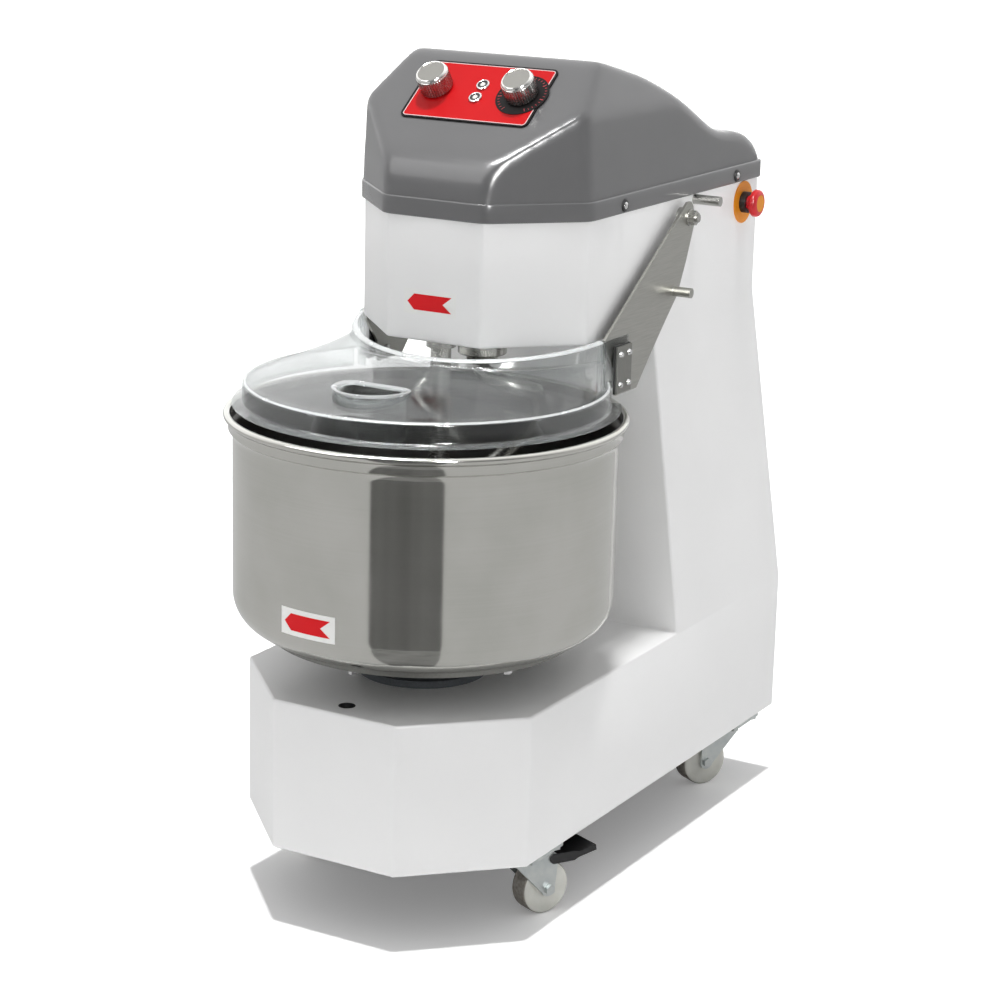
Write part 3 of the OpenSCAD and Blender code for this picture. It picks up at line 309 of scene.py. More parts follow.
coat = powder_coat()
hood_abs = moulded("abs_moulded_mid_grey", "#676768", "#6a6a6b", 0.2, depth=0.012)
black_abs = moulded("abs_moulded_black", "#171718", "#1e1e20", 0.42, 1.0, 0.4)
dial_black = moulded("polyester_dial_black", "#0c090a", "#120d0e", 0.6, 1.0, shine=0.12)
stop_red = moulded("polycarbonate_moulded_red", "#cf1420", "#d81c26", 0.3, 1.2)
stop_yellow = moulded("polystyrene_disc_yellow", "#e08a14", "#e8941c", 0.4, 1.2, shine=0.25)
label_white = moulded("vinyl_label_white", "#ececea", "#f2f2f0", 0.4, 1.5)
label_red = moulded("vinyl_label_red", "#da1019", "#e0161f", 0.45, 1.5, shine=0.15)
tick_print = moulded("screen_print_red", "#c8434a", "#d04d54", 0.5, 1.0, shine=0.2)
bowl_steel = spun_bowl_steel()
# the bowl's inside gets a much darker steel than its outside: painted shade for the dim inside of the bowl
bowl_inside_painted_shade = steel("stainless_spun_inside_painted_shade", "#4a4947", "#565553", 0.3, 2.5, (0.02, 0.02, 1), edge_mm=0.0,
                    depth=0.003)
disc_steel = steel("stainless_rolled_plate", "#80807c", "#8d8d89", 0.42, 3.0, (1, 1, 1), edge_mm=0.8)
arm_steel = steel("stainless_brushed_sheet", "#9d9d98", "#b4b3ae", 0.34, 0.9, (1, 0.03, 1),
                  (math.radians(-42), 0, 0), 0.6)
rod_steel = steel("stainless_turned_bar", "#a4a4a0", "#bcbbb7", 0.24, 0.8, (0.05, 1, 1), edge_mm=0.5)
plated = steel("chrome_plated_hardware", "#c9c9c9", "#dcdcdc", 0.14, 4.0, (1, 1, 1), edge_mm=0.3,
               depth=0.01, sway=0.05)
knurled = steel("aluminium_knurled", "#989794", "#b4b3b0", 0.24, 1.2, (1, 1, 1), edge_mm=0.0, sway=0.1)
turned = steel("aluminium_turned_satin", "#7b7a76", "#878682", 0.34, 0.5, (1, 1, 1), edge_mm=0.0, depth=0.01)
bright_edge = steel("aluminium_diamond_cut_edge", "#e0dfdc", "#eeedea", 0.12, 3.0, (1, 1, 1), edge_mm=0.0,
                    depth=0.01)
clear_sheet = clear_polycarbonate()
clear_fold_painted_highlight = fold_painted_highlight()
foil = control_foil()
black_enamel = moulded("enamel_black_on_cast_iron", "#141415", "#1b1b1c", 0.3, 2.0, 0.6)
nylon = cast_nylon("nylon_cast_off_white", "#cbcbc3", "#d8d8d1", 16, 0.42)
nylon_tread = cast_nylon("nylon_tread_scuffed", "#6a645d", "#a8a39b", 5, 0.62)
zinc = zinc_plate()
casting = machined_casting()
enamel = motor_paint()
gasket_rubber = vulcanised_rubber("rubber_moulded_black", 1.5)
belt_rubber = vulcanised_rubber("rubber_belt_fabric_backed", 0.8)

finish_for_slot = {
    "painted_casing": coat, "hood_plastic": hood_abs, "stainless": rod_steel, "clear_sheet": clear_sheet,
    "zinc_steel": zinc, "knob_metal": knurled, "black_plastic": black_abs, "black_rubber": gasket_rubber,
    "belt_rubber": belt_rubber, "panel_red": foil, "stop_red": stop_red, "stop_yellow": stop_yellow,
    "castor_nylon": nylon, "cast_metal": casting, "motor_paint": enamel, "screw_steel": plated,
}
finish_for_node = {
    "lid_arm_left": arm_steel, "lid_arm_right": arm_steel, "lid_clamp_plates": disc_steel,
    "dial_scale": dial_black, "spiral_housing": black_enamel, "bowl_turntable": disc_steel,
    "button_start": button_cap("button_start"), "button_stop": button_cap("button_stop"),
}
for entry in frame["record"]["subparts"]:
    cad_piece = frame["nodes"][entry["node"]]
    chosen = finish_for_node.get(entry["node"], finish_for_slot[entry["material_slot"]])
    if not cad_piece.material_slots:
        cad_piece.data.materials.append(chosen)
    for part_slot in cad_piece.material_slots:
        part_slot.material = chosen

# ---------------------------------------------------------------- making shapes


def make(name, points, faces, body, finishes, zones=None, slot=None, replaces=(), sharp=32):
    """One piece from points and faces, shaded smooth except at edges sharper than that angle."""
    mesh = bpy.data.meshes.new(name)
    mesh.from_pydata([tuple(p) for p in points], [], faces)
    for one in finishes if isinstance(finishes, (list, tuple)) else [finishes]:
        mesh.materials.append(one)
    if zones:
        mesh.polygons.foreach_set("material_index", zones)
    mesh.update()
    if sharp:
        mesh.shade_smooth()
        mesh.set_sharp_from_angle(angle=math.radians(sharp))
    piece = bpy.data.objects.new(name, mesh)
    scene.collection.objects.link(piece)
    if body:
        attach(piece, body)
        if replaces:
            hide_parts(*replaces)
    return piece


def settle(piece):
    """Makes the piece's modifiers permanent."""
    graph = bpy.context.evaluated_depsgraph_get()
    mesh = bpy.data.meshes.new_from_object(piece.evaluated_get(graph))
    piece.modifiers.clear()
    piece.data = mesh


def join_solid(piece, other, how):
    """Adds another solid to the piece, cuts it away, or keeps what both share."""
    cut = piece.modifiers.new("solid", "BOOLEAN")
    cut.operation, cut.object, cut.solver, cut.material_mode = how, other, "EXACT", "TRANSFER"
    settle(piece)
    bpy.data.objects.remove(other)


def round_edges(piece, width_mm, steps, angle=25):
    """Rounds every edge sharper than that angle."""
    edge = piece.modifiers.new("edges", "BEVEL")
    edge.width, edge.segments = width_mm * MM, steps
    edge.limit_method, edge.angle_limit = "ANGLE", math.radians(angle)
    edge.use_clamp_overlap = True
    edge.miter_outer = "MITER_SHARP"
    settle(piece)
    piece.data.shade_smooth()
    piece.data.set_sharp_from_angle(angle=math.radians(40))


def standing(origin, axis):
    """The place of a piece whose own Z runs along axis from origin."""
    return Matrix.Translation(origin) @ Vector(axis).to_track_quat("Z", "Y").to_matrix().to_4x4()


def oval(x, y, across, along, angle):
    """A point of an oval round (x, y), at that angle."""
    return x + across * math.cos(angle), y + along * math.sin(angle)


def spun(profile, steps, place, wave=None):
    """Points and faces of a closed profile of (radius, height) turned round the Z of place, in metres."""
    points, rings = [], []
    for r, h in profile:
        if r < 1e-6:
            rings.append([len(points)])
            points.append(place @ Vector((0, 0, h)))
            continue
        ring = []
        for k in range(steps):
            a = 2 * math.pi * k / steps
            rr = r + (wave(k, r, h) if wave else 0.0)
            ring.append(len(points))
            points.append(place @ Vector((*oval(0, 0, rr, rr, a), h)))
        rings.append(ring)
    faces, zone = [], []
    for i in range(len(rings) - 1):
        a, b = rings[i], rings[i + 1]
        if len(a) == 1 and len(b) == 1:
            continue
        for k in range(steps):
            n = (k + 1) % steps
            if len(a) == 1:
                faces.append((a[0], b[n], b[k]))
            elif len(b) == 1:
                faces.append((a[k], a[n], b[0]))
            else:
                faces.append((a[k], a[n], b[n], b[k]))
            zone.append(i)
    return points, faces, zone


def bend(cx, cy, r, start, end, n):
    """Points along an arc, for a profile."""
    return [oval(cx, cy, r, r, math.radians(start + (end - start) * i / n)) for i in range(n + 1)]


def metres(*profile):
    """A profile given in millimetres, in metres."""
    return [(r * MM, h * MM) for r, h in profile]


def crown(centre_r, centre_h, r, height, angles):
    """Points of a rounded crown at those angles, for a profile."""
    return [oval(centre_r, centre_h, r, height, math.radians(g)) for g in angles]


def stacked(outline, low, high):
    """Points and faces of an outline raised from low to high."""
    n = len(outline)
    points = [(x, y, low) for x, y in outline] + [(x, y, high) for x, y in outline]
    faces = [tuple(range(n))[::-1], tuple(range(n, 2 * n))]
    faces += [(i, (i + 1) % n, n + (i + 1) % n, n + i) for i in range(n)]
    return points, faces


def soft_corners(outline, r, steps=5):
    """An outline with its corners rounded."""
    soft = []
    for i, here in enumerate(outline):
        here = Vector(here)
        back = Vector(outline[i - 1]) - here
        on = Vector(outline[(i + 1) % len(outline)]) - here
        reach = min(r, back.length / 3, on.length / 3)
        a, b = here + back.normalized() * reach, here + on.normalized() * reach
        for k in range(steps + 1):
            t = k / steps
            soft.append(tuple((1 - t) ** 2 * a + 2 * t * (1 - t) * here + t * t * b))
    return soft


def merged(parts):
    """Several lots of points and faces as one."""
    points, faces = [], []
    for more_points, more_faces in parts:
        start = len(points)
        points += list(more_points)
        faces += [tuple(i + start for i in f) for f in more_faces]
    return points, faces


# ---------------------------------------------------------------- painted casing

base_low, base_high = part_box("base_shell")
column_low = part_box("column_shell")[0]
head_low, head_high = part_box("head_shell")
base_cut, head_cut = 129 * MM, 104 * MM
column_lean = 22 * MM


def plan(low, high, cut):
    """The six corners of a casing with its front corners cut, seen from above."""
    x, front, rear = high.x, low.y, high.y
    return [(-(x - cut), front), (x - cut, front), (x, front + cut), (x, rear), (-x, rear), (-x, front + cut)]


def casing():
    """Base, column and head as one welded and painted body, with folded edges."""
    b, h = plan(base_low, base_high, base_cut), plan(head_low, head_high, head_cut)
    foot_y, top_y = column_low.y + column_lean, column_low.y
    deck = base_high.z
    points = [(x, y, base_low.z) for x, y in b]
    points += [(x, y, deck) for x, y in b]
    points += [(b[2][0], foot_y, deck), (b[5][0], foot_y, deck)]
    points += [(x, y, head_low.z) for x, y in h]
    points += [(h[2][0], top_y, head_low.z), (h[5][0], top_y, head_low.z)]
    points += [(x, y, head_high.z) for x, y in h]
    faces = [
        (5, 4, 3, 2, 1, 0),
        (0, 1, 7, 6), (1, 2, 8, 7), (2, 3, 9, 12, 8), (3, 4, 10, 9), (4, 5, 11, 13, 10), (5, 0, 6, 11),
        (6, 7, 8, 12, 13, 11),
        (13, 12, 20, 21), (12, 9, 17, 20), (9, 10, 18, 17), (10, 13, 21, 18),
        (20, 16, 15, 14, 19, 21),
        (14, 15, 23, 22), (15, 16, 24, 23), (16, 20, 17, 25, 24), (17, 18, 26, 25), (18, 21, 19, 27, 26),
        (19, 14, 22, 27),
        (22, 23, 24, 25, 26, 27),
    ]
    body = make("casing_body", points, faces, None, coat)
    round_edges(body, 4, 3, 20)
    hole_r, hole_in = 11.5, 33 * MM
    # the cut walls of the hole take the black plastic finish of the cutter: painted shade inside the hole
    hole = spun(metres((0, -40), (hole_r, -40), (hole_r, 5), (0, 5)), 40,
                Matrix.Translation((0, base_low.y + hole_in, deck)))
    join_solid(body, make("hole", *hole[:2], None, black_abs), "DIFFERENCE")
    # a shallow pocket behind the vents of the rear cover; its walls take the black plastic finish of the cutter,
    # painted shade behind the vents
    margin = 15 * MM
    cover_low, cover_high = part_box("rear_cover")
    left, right = cover_low.x + margin, cover_high.x - margin
    inside, outside = head_high.y - 2.6 * MM, head_high.y + 5 * MM
    room = stacked([(left, inside), (right, inside), (right, outside), (left, outside)],
                   cover_low.z + margin, cover_high.z - margin)
    join_solid(body, make("room", *room, None, black_abs), "DIFFERENCE")
    body.data.shade_smooth()
    body.data.set_sharp_from_angle(angle=math.radians(35))
    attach(body, "frame")
    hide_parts("base_shell", "column_shell", "head_shell")


casing()

# ---------------------------------------------------------------- hood

hood_low, hood_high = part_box("hood")
skirt_h = 26 * MM


def roof_curve():
    """Side view of the hood: front wall, control slope, and a roof that falls in an S to a rear hump."""
    roof_z = hood_low.z + skirt_h
    foot = Vector((hood_low.y + 3 * MM, hood_low.z + 70 * MM))
    crest_z = hood_high.z - 2.5 * MM
    crest = Vector((foot.x + (crest_z - foot.y) / math.tan(SLOPE), crest_z))
    crest_flat = 9 * MM
    fall, run = crest_z - roof_z - 2 * MM, hood_high.y - crest.x
    # the roof from crest to rear, as shares of its run and of its fall
    shares = [(0.0, -0.012), (0.1, 0.05), (0.27, 0.18), (0.45, 0.39), (0.56, 0.53), (0.66, 0.655),
              (0.73, 0.705), (0.81, 0.725), (0.88, 0.765), (0.945, 0.85), (0.985, 0.95)]
    knots = [Vector((crest.x + crest_flat + p * (run - crest_flat), crest_z - q * fall)) for p, q in shares]
    # a smooth line through the knots
    line = [knots[0]]
    for i in range(len(knots) - 1):
        a, b = knots[max(i - 1, 0)], knots[i]
        c, d = knots[i + 1], knots[min(i + 2, len(knots) - 1)]
        for k in range(1, 6):
            t = k / 5
            line.append(0.5 * ((2 * b) + (c - a) * t + (2 * a - 5 * b + 4 * c - d) * t * t
                               + (3 * b - a - 3 * c + d) * t ** 3))
    up_slope = Vector((math.cos(SLOPE), math.sin(SLOPE)))
    below, above = foot - Vector((0, 30 * MM)), foot + up_slope * 36 * MM
    fold = [below * (1 - t) ** 2 + foot * 2 * t * (1 - t) + above * t * t for t in (0, 0.2, 0.4, 0.6, 0.8, 1)]
    bottom, rear = hood_low.z + 4 * MM, hood_high.y - 1 * MM
    start = [Vector((hood_low.y, bottom)), Vector((hood_low.y, roof_z))]
    end = [Vector((rear, roof_z + 2 * MM)), Vector((rear, bottom))]
    return start + fold + [crest - up_slope * 8 * MM] + line + end


def hood():
    """Vacuum moulded hood: rounded upper shell on a straight skirt."""
    line = roof_curve()
    n = len(line)
    points = [(-hood_high.x, p.x, p.y) for p in line] + [(hood_high.x, p.x, p.y) for p in line]
    faces = [tuple(range(n)), tuple(range(2 * n - 1, n - 1, -1))]
    faces += [(i, n + i, n + (i + 1) % n, (i + 1) % n) for i in range(n)]
    shell = make("hood_moulding", points, faces, None, hood_abs)
    # its sides lean inward: height, and how far the sides, the front and the cut corners come in there
    z_foot = hood_low.z + 25 * MM
    levels = ((z_foot - 20 * MM, 2 * MM, 0, 0), (z_foot + 112 * MM, 9 * MM, 5 * MM, 6 * MM),
              (hood_high.z, 36 * MM, 13 * MM, 18 * MM))
    sides = []
    for z, side_in, front_in, cut_in in levels:
        low, high = Vector((0, hood_low.y + front_in, 0)), Vector((hood_high.x - side_in, hood_high.y, 0))
        sides += [(x, y, z) for x, y in plan(low, high, head_cut - cut_in)]
    side_faces = [(5, 4, 3, 2, 1, 0), (12, 13, 14, 15, 16, 17)]
    side_faces += [(k + i, k + (i + 1) % 6, k + 6 + (i + 1) % 6, k + 6 + i) for k in (0, 6) for i in range(6)]
    join_solid(shell, make("sides", sides, side_faces, None, hood_abs), "INTERSECT")
    grid = shell.modifiers.new("even_grid", "REMESH")
    grid.mode, grid.voxel_size = "VOXEL", 4 * MM
    soft = shell.modifiers.new("moulded_radius", "SMOOTH")
    soft.factor, soft.iterations = 0.5, 42
    settle(shell)
    shell.data.shade_smooth()
    outline = soft_corners(plan(hood_low, hood_high, head_cut + 1 * MM), 14 * MM)
    skirt = make("skirt", *stacked(outline, hood_low.z, hood_low.z + skirt_h), None, hood_abs)
    round_edges(skirt, 2.2, 3, 50)
    with bpy.context.temp_override(active_object=shell, selected_editable_objects=[shell, skirt]):
        bpy.ops.object.join()
    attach(shell, "frame")
    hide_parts("hood")


hood()

# ---------------------------------------------------------------- bowl and tool

bowl_nodes = [n for n in ("bowl", "bowl_bottom") if n in frame["nodes"]]
bowl_low, bowl_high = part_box(bowl_nodes[-1])[0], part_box("bowl")[1]
bowl_axis = Matrix.Translation((0, middle("bowl").y, 0))
bowl_r, rim_r = bowl_high.x - 12.7 * MM, bowl_high.x


def bowl():
    """Spun bowl with a rounded bottom corner, a flared neck and a rolled rim."""
    z0, z1, corner, wall = bowl_low.z, bowl_high.z, 48 * MM, 2 * MM
    bead, flare, neck_z = 5 * MM, 16 * MM, z1 - 36 * MM
    outer = [(0, z0)] + bend(bowl_r - corner, z0 + corner, corner, 270, 360, 14)
    outer += [(bowl_r, z) for z in (z0 + corner + 3 * MM, z1 - 120 * MM, z1 - 39 * MM, z1 - 36.5 * MM)]
    outer += bend(bowl_r + flare, neck_z, flare, 180, 128, 8)
    outer += [(rim_r - bead - 2.2 * MM, z1 - 14 * MM)]
    outer += bend(rim_r - bead, z1 - bead, bead, -75, 172, 14)
    inner = [(rim_r - bead - wall - 0.6 * MM, z1 - 16 * MM)]
    inner += [(r - wall, z + 1 * MM) for r, z in bend(bowl_r + flare, neck_z, flare, 128, 180, 8)]
    inner += [(bowl_r - wall, z1 - 120 * MM)]
    inner += bend(bowl_r - corner, z0 + corner, corner - wall, 360, 270, 14) + [(0, z0 + wall)]
    points, faces, zone = spun(outer + inner, 160, bowl_axis)
    # the inner profile takes the darker steel, painted shade inside the bowl
    zones = [1 if z >= len(outer) else 0 for z in zone]
    make("bowl_spun", points, faces, "bowl", [bowl_steel, bowl_inside_painted_shade], zones, "stainless", bowl_nodes, 50)


bowl()


def hook():
    """Spiral hook bent from bar, with its stub and flange."""
    low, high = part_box("spiral_hook")
    centre = (low + high) / 2
    rod = 12 * MM
    coil = (high.x - low.x) / 2 - rod
    top, low_z = high.z - 16 * MM, low.z + rod
    coil_top = top - 40 * MM
    turns, steps, sides = 1.35, 150, 20

    def ease(t):
        return t * t * (3 - 2 * t)

    def at(t):
        """The bar's middle line: out from the stub, down the coil, and back inward at the lower end."""
        t = min(max(t, 0.0), 1.0)
        out, z = 1.0, coil_top + (low_z - coil_top) * math.sin(math.pi / 2 * min(1.0, (t - 0.2) / 0.68))
        if t < 0.2:
            out, z = ease(t / 0.2), top + (coil_top - top) * t / 0.2
        elif t > 0.86:
            out = 1 - 0.8 * ease((t - 0.86) / 0.14)
        turn = 2 * math.pi * turns * t - math.pi / 2
        return Vector((*oval(0, centre.y, coil * out, coil * out, turn), z))

    points, faces = [], []
    side = Vector((1, 0, 0))
    for i in range(steps + 1):
        t = i / steps
        along = (at(t + 0.004) - at(t - 0.004)).normalized()
        side = (side - along * side.dot(along)).normalized()
        up = along.cross(side)
        # the lower end of the bar is rounded off
        size = rod * (1 if t < 0.985 else math.sqrt(max(0.0, 1 - ((t - 0.985) / 0.0152) ** 2)) + 0.02)
        for k in range(sides):
            a = 2 * math.pi * k / sides
            points.append(at(t) + size * (math.cos(a) * side + math.sin(a) * up))
    for i in range(steps):
        for k in range(sides):
            a, b = i * sides + k, i * sides + (k + 1) % sides
            faces.append((a, b, b + sides, a + sides))
    faces += [tuple(range(sides))[::-1], tuple(range(steps * sides, (steps + 1) * sides))]
    stub = spun([(0, top - 4 * MM), (21 * MM, top - 4 * MM), (22 * MM, top - 2 * MM), (22 * MM, top + 6 * MM),
                 (33 * MM, top + 6 * MM), (34 * MM, top + 7 * MM), (34 * MM, high.z), (0, high.z)], 64,
                Matrix.Translation((0, centre.y, 0)))
    make("spiral_hook_bar", *merged([(points, faces), stub[:2]]), "spiral", rod_steel, None, "stainless",
         ["spiral_hook"])


hook()

# ---------------------------------------------------------------- clear lid

lid_nodes = [n for n in ("lid_shell", "lid_chute") if n in frame["nodes"]]
lid_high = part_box("lid_shell")[1]
lid_y = middle("bowl").y
lid_r, flange_r = lid_high.x - 14 * MM, lid_high.x
collar_r = head_high.x + 21 * MM
collar_y = head_low.y + 164 * MM
lid_end = lid_high.y - 68.5 * MM
flange_z = bowl_high.z + 9 * MM
lid_z = flange_z + 31 * MM
collar_z = lid_z + 27 * MM


def collar_top(y):
    """Height of the collar's edge, which rises toward the rear."""
    return collar_z + 9 * MM + 0.115 * (y - (collar_y - collar_r))


def hole_line(grow, n=22):
    """Pour hole: straight at the back, rounded at the front."""
    w, d, r = 46 * MM, 60 * MM, 12 * MM
    y = lid_y - 152 * MM + d / 2 - r
    line = [oval(0, y, w + grow, d - r + grow, math.pi + math.pi * i / n) for i in range(n)]
    return line + bend(w - r, y, r + grow, 0, 90, 7) + bend(-w + r, y, r + grow, 90, 172, 7)


def lid():
    """Formed clear sheet: flange, skirt, rolled edge, rising top and a collar round the head."""
    count, top_steps = 120, 12
    a0 = math.asin((lid_end - lid_y) / lid_r)
    b0 = math.asin((lid_end - collar_y) / collar_r)
    rows = []
    for i in range(count + 1):
        u = i / count
        a = a0 - (math.pi + 2 * a0) * u
        b = b0 - (math.pi + 2 * b0) * u

        def on_rim(r, z):
            return Vector((*oval(0, lid_y, r, r, a), z))

        def on_collar(r, z):
            return Vector((*oval(0, collar_y, r, r, b), z))

        row = [on_rim(flange_r, flange_z), on_rim(flange_r, flange_z + 1.6 * MM),
               on_rim(lid_r + 3 * MM, flange_z + 2.4 * MM), on_rim(lid_r + 0.8 * MM, flange_z + 3.6 * MM),
               on_rim(lid_r, flange_z + 6 * MM), on_rim(lid_r, lid_z - 7 * MM)]
        row += [on_rim(lid_r - 6 * MM + r, z) for r, z in bend(0, lid_z - 6 * MM, 6 * MM, 15, 90, 5)]
        start = on_rim(lid_r - 10 * MM, lid_z - 0.4 * MM)
        end = on_collar(collar_r + 5 * MM, collar_z - 1 * MM)
        row += [start + (end - start) * k / top_steps for k in range(top_steps + 1)]
        top = collar_top(collar_y + collar_r * math.sin(b))
        row += [on_collar(collar_r + 1.4 * MM, collar_z + 0.6 * MM), on_collar(collar_r, collar_z + 3 * MM)]
        row += [on_collar(r, z)
                for r, z in crown(collar_r - 7 * MM, top - 7 * MM, 7 * MM, 6.8 * MM, (10, 35, 60, 90))]
        row += [on_collar(collar_r - 9 * MM, top - 0.2 * MM)]
        rows.append(row)
    width = len(rows[0])
    points = [p for row in rows for p in row]
    faces = [(i * width + k, i * width + k + 1, (i + 1) * width + k + 1, (i + 1) * width + k)
             for i in range(count) for k in range(width - 1)]
    highlight_bands = (8, 9) + tuple(range(width - 4, width - 1))  # the top's edge and the collar's turned edge get the paler sheet, as painted highlight
    zones = [1 if k in highlight_bands else 0 for i in range(count) for k in range(width - 1)]
    shell = make("lid_formed", points, faces, None, [clear_sheet, clear_fold_painted_highlight], zones)
    wall = shell.modifiers.new("wall", "SOLIDIFY")
    wall.thickness, wall.offset = 2.6 * MM, -1
    settle(shell)
    hole = stacked(hole_line(0.4 * MM), lid_z - 20 * MM, lid_z + 40 * MM)
    join_solid(shell, make("hole", *hole, None, clear_sheet), "DIFFERENCE")
    lip = []
    low_z, high_z = bowl_high.z - 9 * MM, lid_z + 16 * MM
    profile = [(0.3, low_z), (2.4, low_z), (2.4, lid_z + 1 * MM), (4.2, high_z - 5 * MM),
               (7.4, high_z - 2.6 * MM), (8, high_z - 1 * MM), (6, high_z), (3, high_z - 0.3 * MM),
               (0.6, high_z - 2 * MM), (0, high_z - 5 * MM)]
    for grow, z in profile:
        lip.append([(x, y, z) for x, y in hole_line(grow * MM)])
    n, m = len(lip[0]), len(lip)
    chute_points = [p for ring in lip for p in ring]
    chute_faces = [(j * n + i, j * n + (i + 1) % n, ((j + 1) % m) * n + (i + 1) % n, ((j + 1) % m) * n + i)
                   for j in range(m) for i in range(n)]
    # the lip's raised rim gets the paler sheet: painted highlight
    zones = [1 if 3 <= j <= 8 else 0 for j in range(m) for i in range(n)]
    make("lid_pour_chute", chute_points, chute_faces, "lid", [clear_sheet, clear_fold_painted_highlight], zones, "clear_sheet")
    ear_top = collar_top(lid_end) - 1 * MM

    def block(side, inner, outer, front, rear, low):
        """A block at the lid's rear end on one side, between two distances from the middle."""
        x0, x1 = sorted((inner * side, outer * side))
        return stacked([(x0, front), (x1, front), (x1, rear), (x0, rear)], low, ear_top)

    for side in (-1, 1):
        end_wall = block(side, collar_r - 13 * MM, collar_r - 0.3 * MM, lid_end - 2.4 * MM,
                         lid_end + 0.2 * MM, flange_z + 4 * MM)
        ear = block(side, collar_r - 5 * MM, collar_r - 2 * MM, lid_end + 0.3 * MM, lid_high.y,
                    lid_z - 14 * MM)
        name = "lid_ear_left" if side < 0 else "lid_ear_right"
        pad = make(name, *merged([end_wall, ear]), None, clear_sheet)
        round_edges(pad, 1, 2, 30)
        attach(pad, "lid")
    shell.data.shade_smooth()
    shell.data.set_sharp_from_angle(angle=math.radians(55))
    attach(shell, "lid")
    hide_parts(*lid_nodes)


lid()

# ---------------------------------------------------------------- controls

panel_centre = middle("control_panel")
joint_place = {j["child"]: Vector(j["pos_m"]) for j in frame["joints"] if "pos_m" in j}


def knob(body, node):
    """Turned aluminium knob: fluted grip, diamond cut bright edge and a shallow satin face."""
    foot = joint_place[body] + slope_axis * 3.2 * MM
    place = standing(foot, slope_axis)
    r, h, flutes = 22.4, 29.5, 40
    profile = metres(
        (0, 0), (r - 1.5, 0), (r, 1.2), (r, 2.5), (r + 0.1, h - 5.5), (r, h - 4.6), (r - 0.5, h - 4.2),
        (r - 0.5, h - 3), (r - 1.6, h - 1), (r - 3, h), (r - 3.6, h - 0.3), (r - 4, h - 1), (0, h - 1))

    def flute(k, radius, height):
        """Half of each flute stands out and half is cut in, along the grip only."""
        if not 2.4 * MM < height < (h - 5) * MM:
            return 0.0
        return 0.55 * MM if k % 4 < 2 else -0.35 * MM

    points, faces, zone = spun(profile, flutes * 4, place, flute)
    zones = [0 if z < 5 else (1 if z < 11 else 2) for z in zone]
    layers = [knurled, bright_edge, turned]
    make(node + "_turned", points, faces, body, layers, zones, "knob_metal", [node], 30)


knob("left_knob", "knob_left")
knob("right_knob", "knob_right")


def dial_ticks():
    """Printed scale round the right knob: long and short ticks, evenly spaced."""
    centre = joint_place["right_knob"] + slope_axis * 2.95 * MM
    box_faces = [(3, 2, 1, 0), (4, 5, 6, 7), (0, 1, 5, 4), (1, 2, 6, 5), (2, 3, 7, 6), (3, 0, 4, 7)]
    parts = []
    for i in range(31):
        a = math.radians(-150 + 10 * i)
        along = Vector((math.sin(a), 0, 0)) + slope_up * math.cos(a)
        across = Vector((math.cos(a), 0, 0)) - slope_up * math.sin(a)
        near, far, half = (29.5, 35, 0.55) if i % 5 == 0 else (31.5, 34.5, 0.35)
        tick = metres((near, -half), (near, half), (far, half), (far, -half))
        flat = [centre + along * d + across * s for d, s in tick]
        top = [p + slope_axis * 0.12 * MM for p in flat]
        parts.append((flat + top, box_faces))
    make("dial_ticks", *merged(parts), "frame", tick_print, None, "black_plastic", sharp=0)


dial_ticks()


def button_rings():
    """Chromed ring round each push button, rounded outside and dished inside."""
    parts = []
    for node in ("button_start", "button_stop"):
        centre = middle(node)
        foot = Vector((0, centre.y, centre.z))
        foot -= slope_axis * (foot - panel_centre).dot(slope_axis)
        place = standing(foot + slope_axis * 1.1 * MM, slope_axis)
        ring = [(6.9, -0.8), (9.5, -0.8), (9.5, 1.4)] + bend(7.9, 1.6, 1.6, 0, 120, 8)
        ring += [(6.9, 1.5), (6.55, -0.7), (6.9, -0.8)]
        parts.append(spun(metres(*ring), 56, place)[:2])
    make("button_rings", *merged(parts), "frame", plated, None, "screw_steel", ["button_bezels"], 40)


button_rings()


def stop_mushroom():
    """Emergency stop head: flared skirt, rounded crown and a flush yellow disc."""
    low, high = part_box("stop_button")
    centre = middle("stop_button")
    place = standing((low.x, centre.y, centre.z), (1, 0, 0))
    length, r = (high.x - low.x) / MM, (high.z - low.z) / 2 / MM
    stem, front = r / 2, length - 13.5
    profile = [(0, 0), (stem, 0), (stem, front + 0.4), (14.5, front + 0.6), (15.5, front + 1.4),
               (r - 1, front + 3), (r, front + 4.5), (r, front + 8)]
    profile += crown(r - 5.5, length - 5.5, 5.5, 5, (10, 30, 50, 70, 85))
    profile += [(14, length - 0.4), (13.6, length), (12.4, length), (0, length - 0.1)]
    points, faces, zone = spun(metres(*profile), 72, place)
    zones = [1 if z >= len(profile) - 2 else 0 for z in zone]
    make("stop_mushroom", points, faces, "emergency_stop", [stop_red, stop_yellow], zones, "stop_red",
         ["stop_button"], 35)


stop_mushroom()


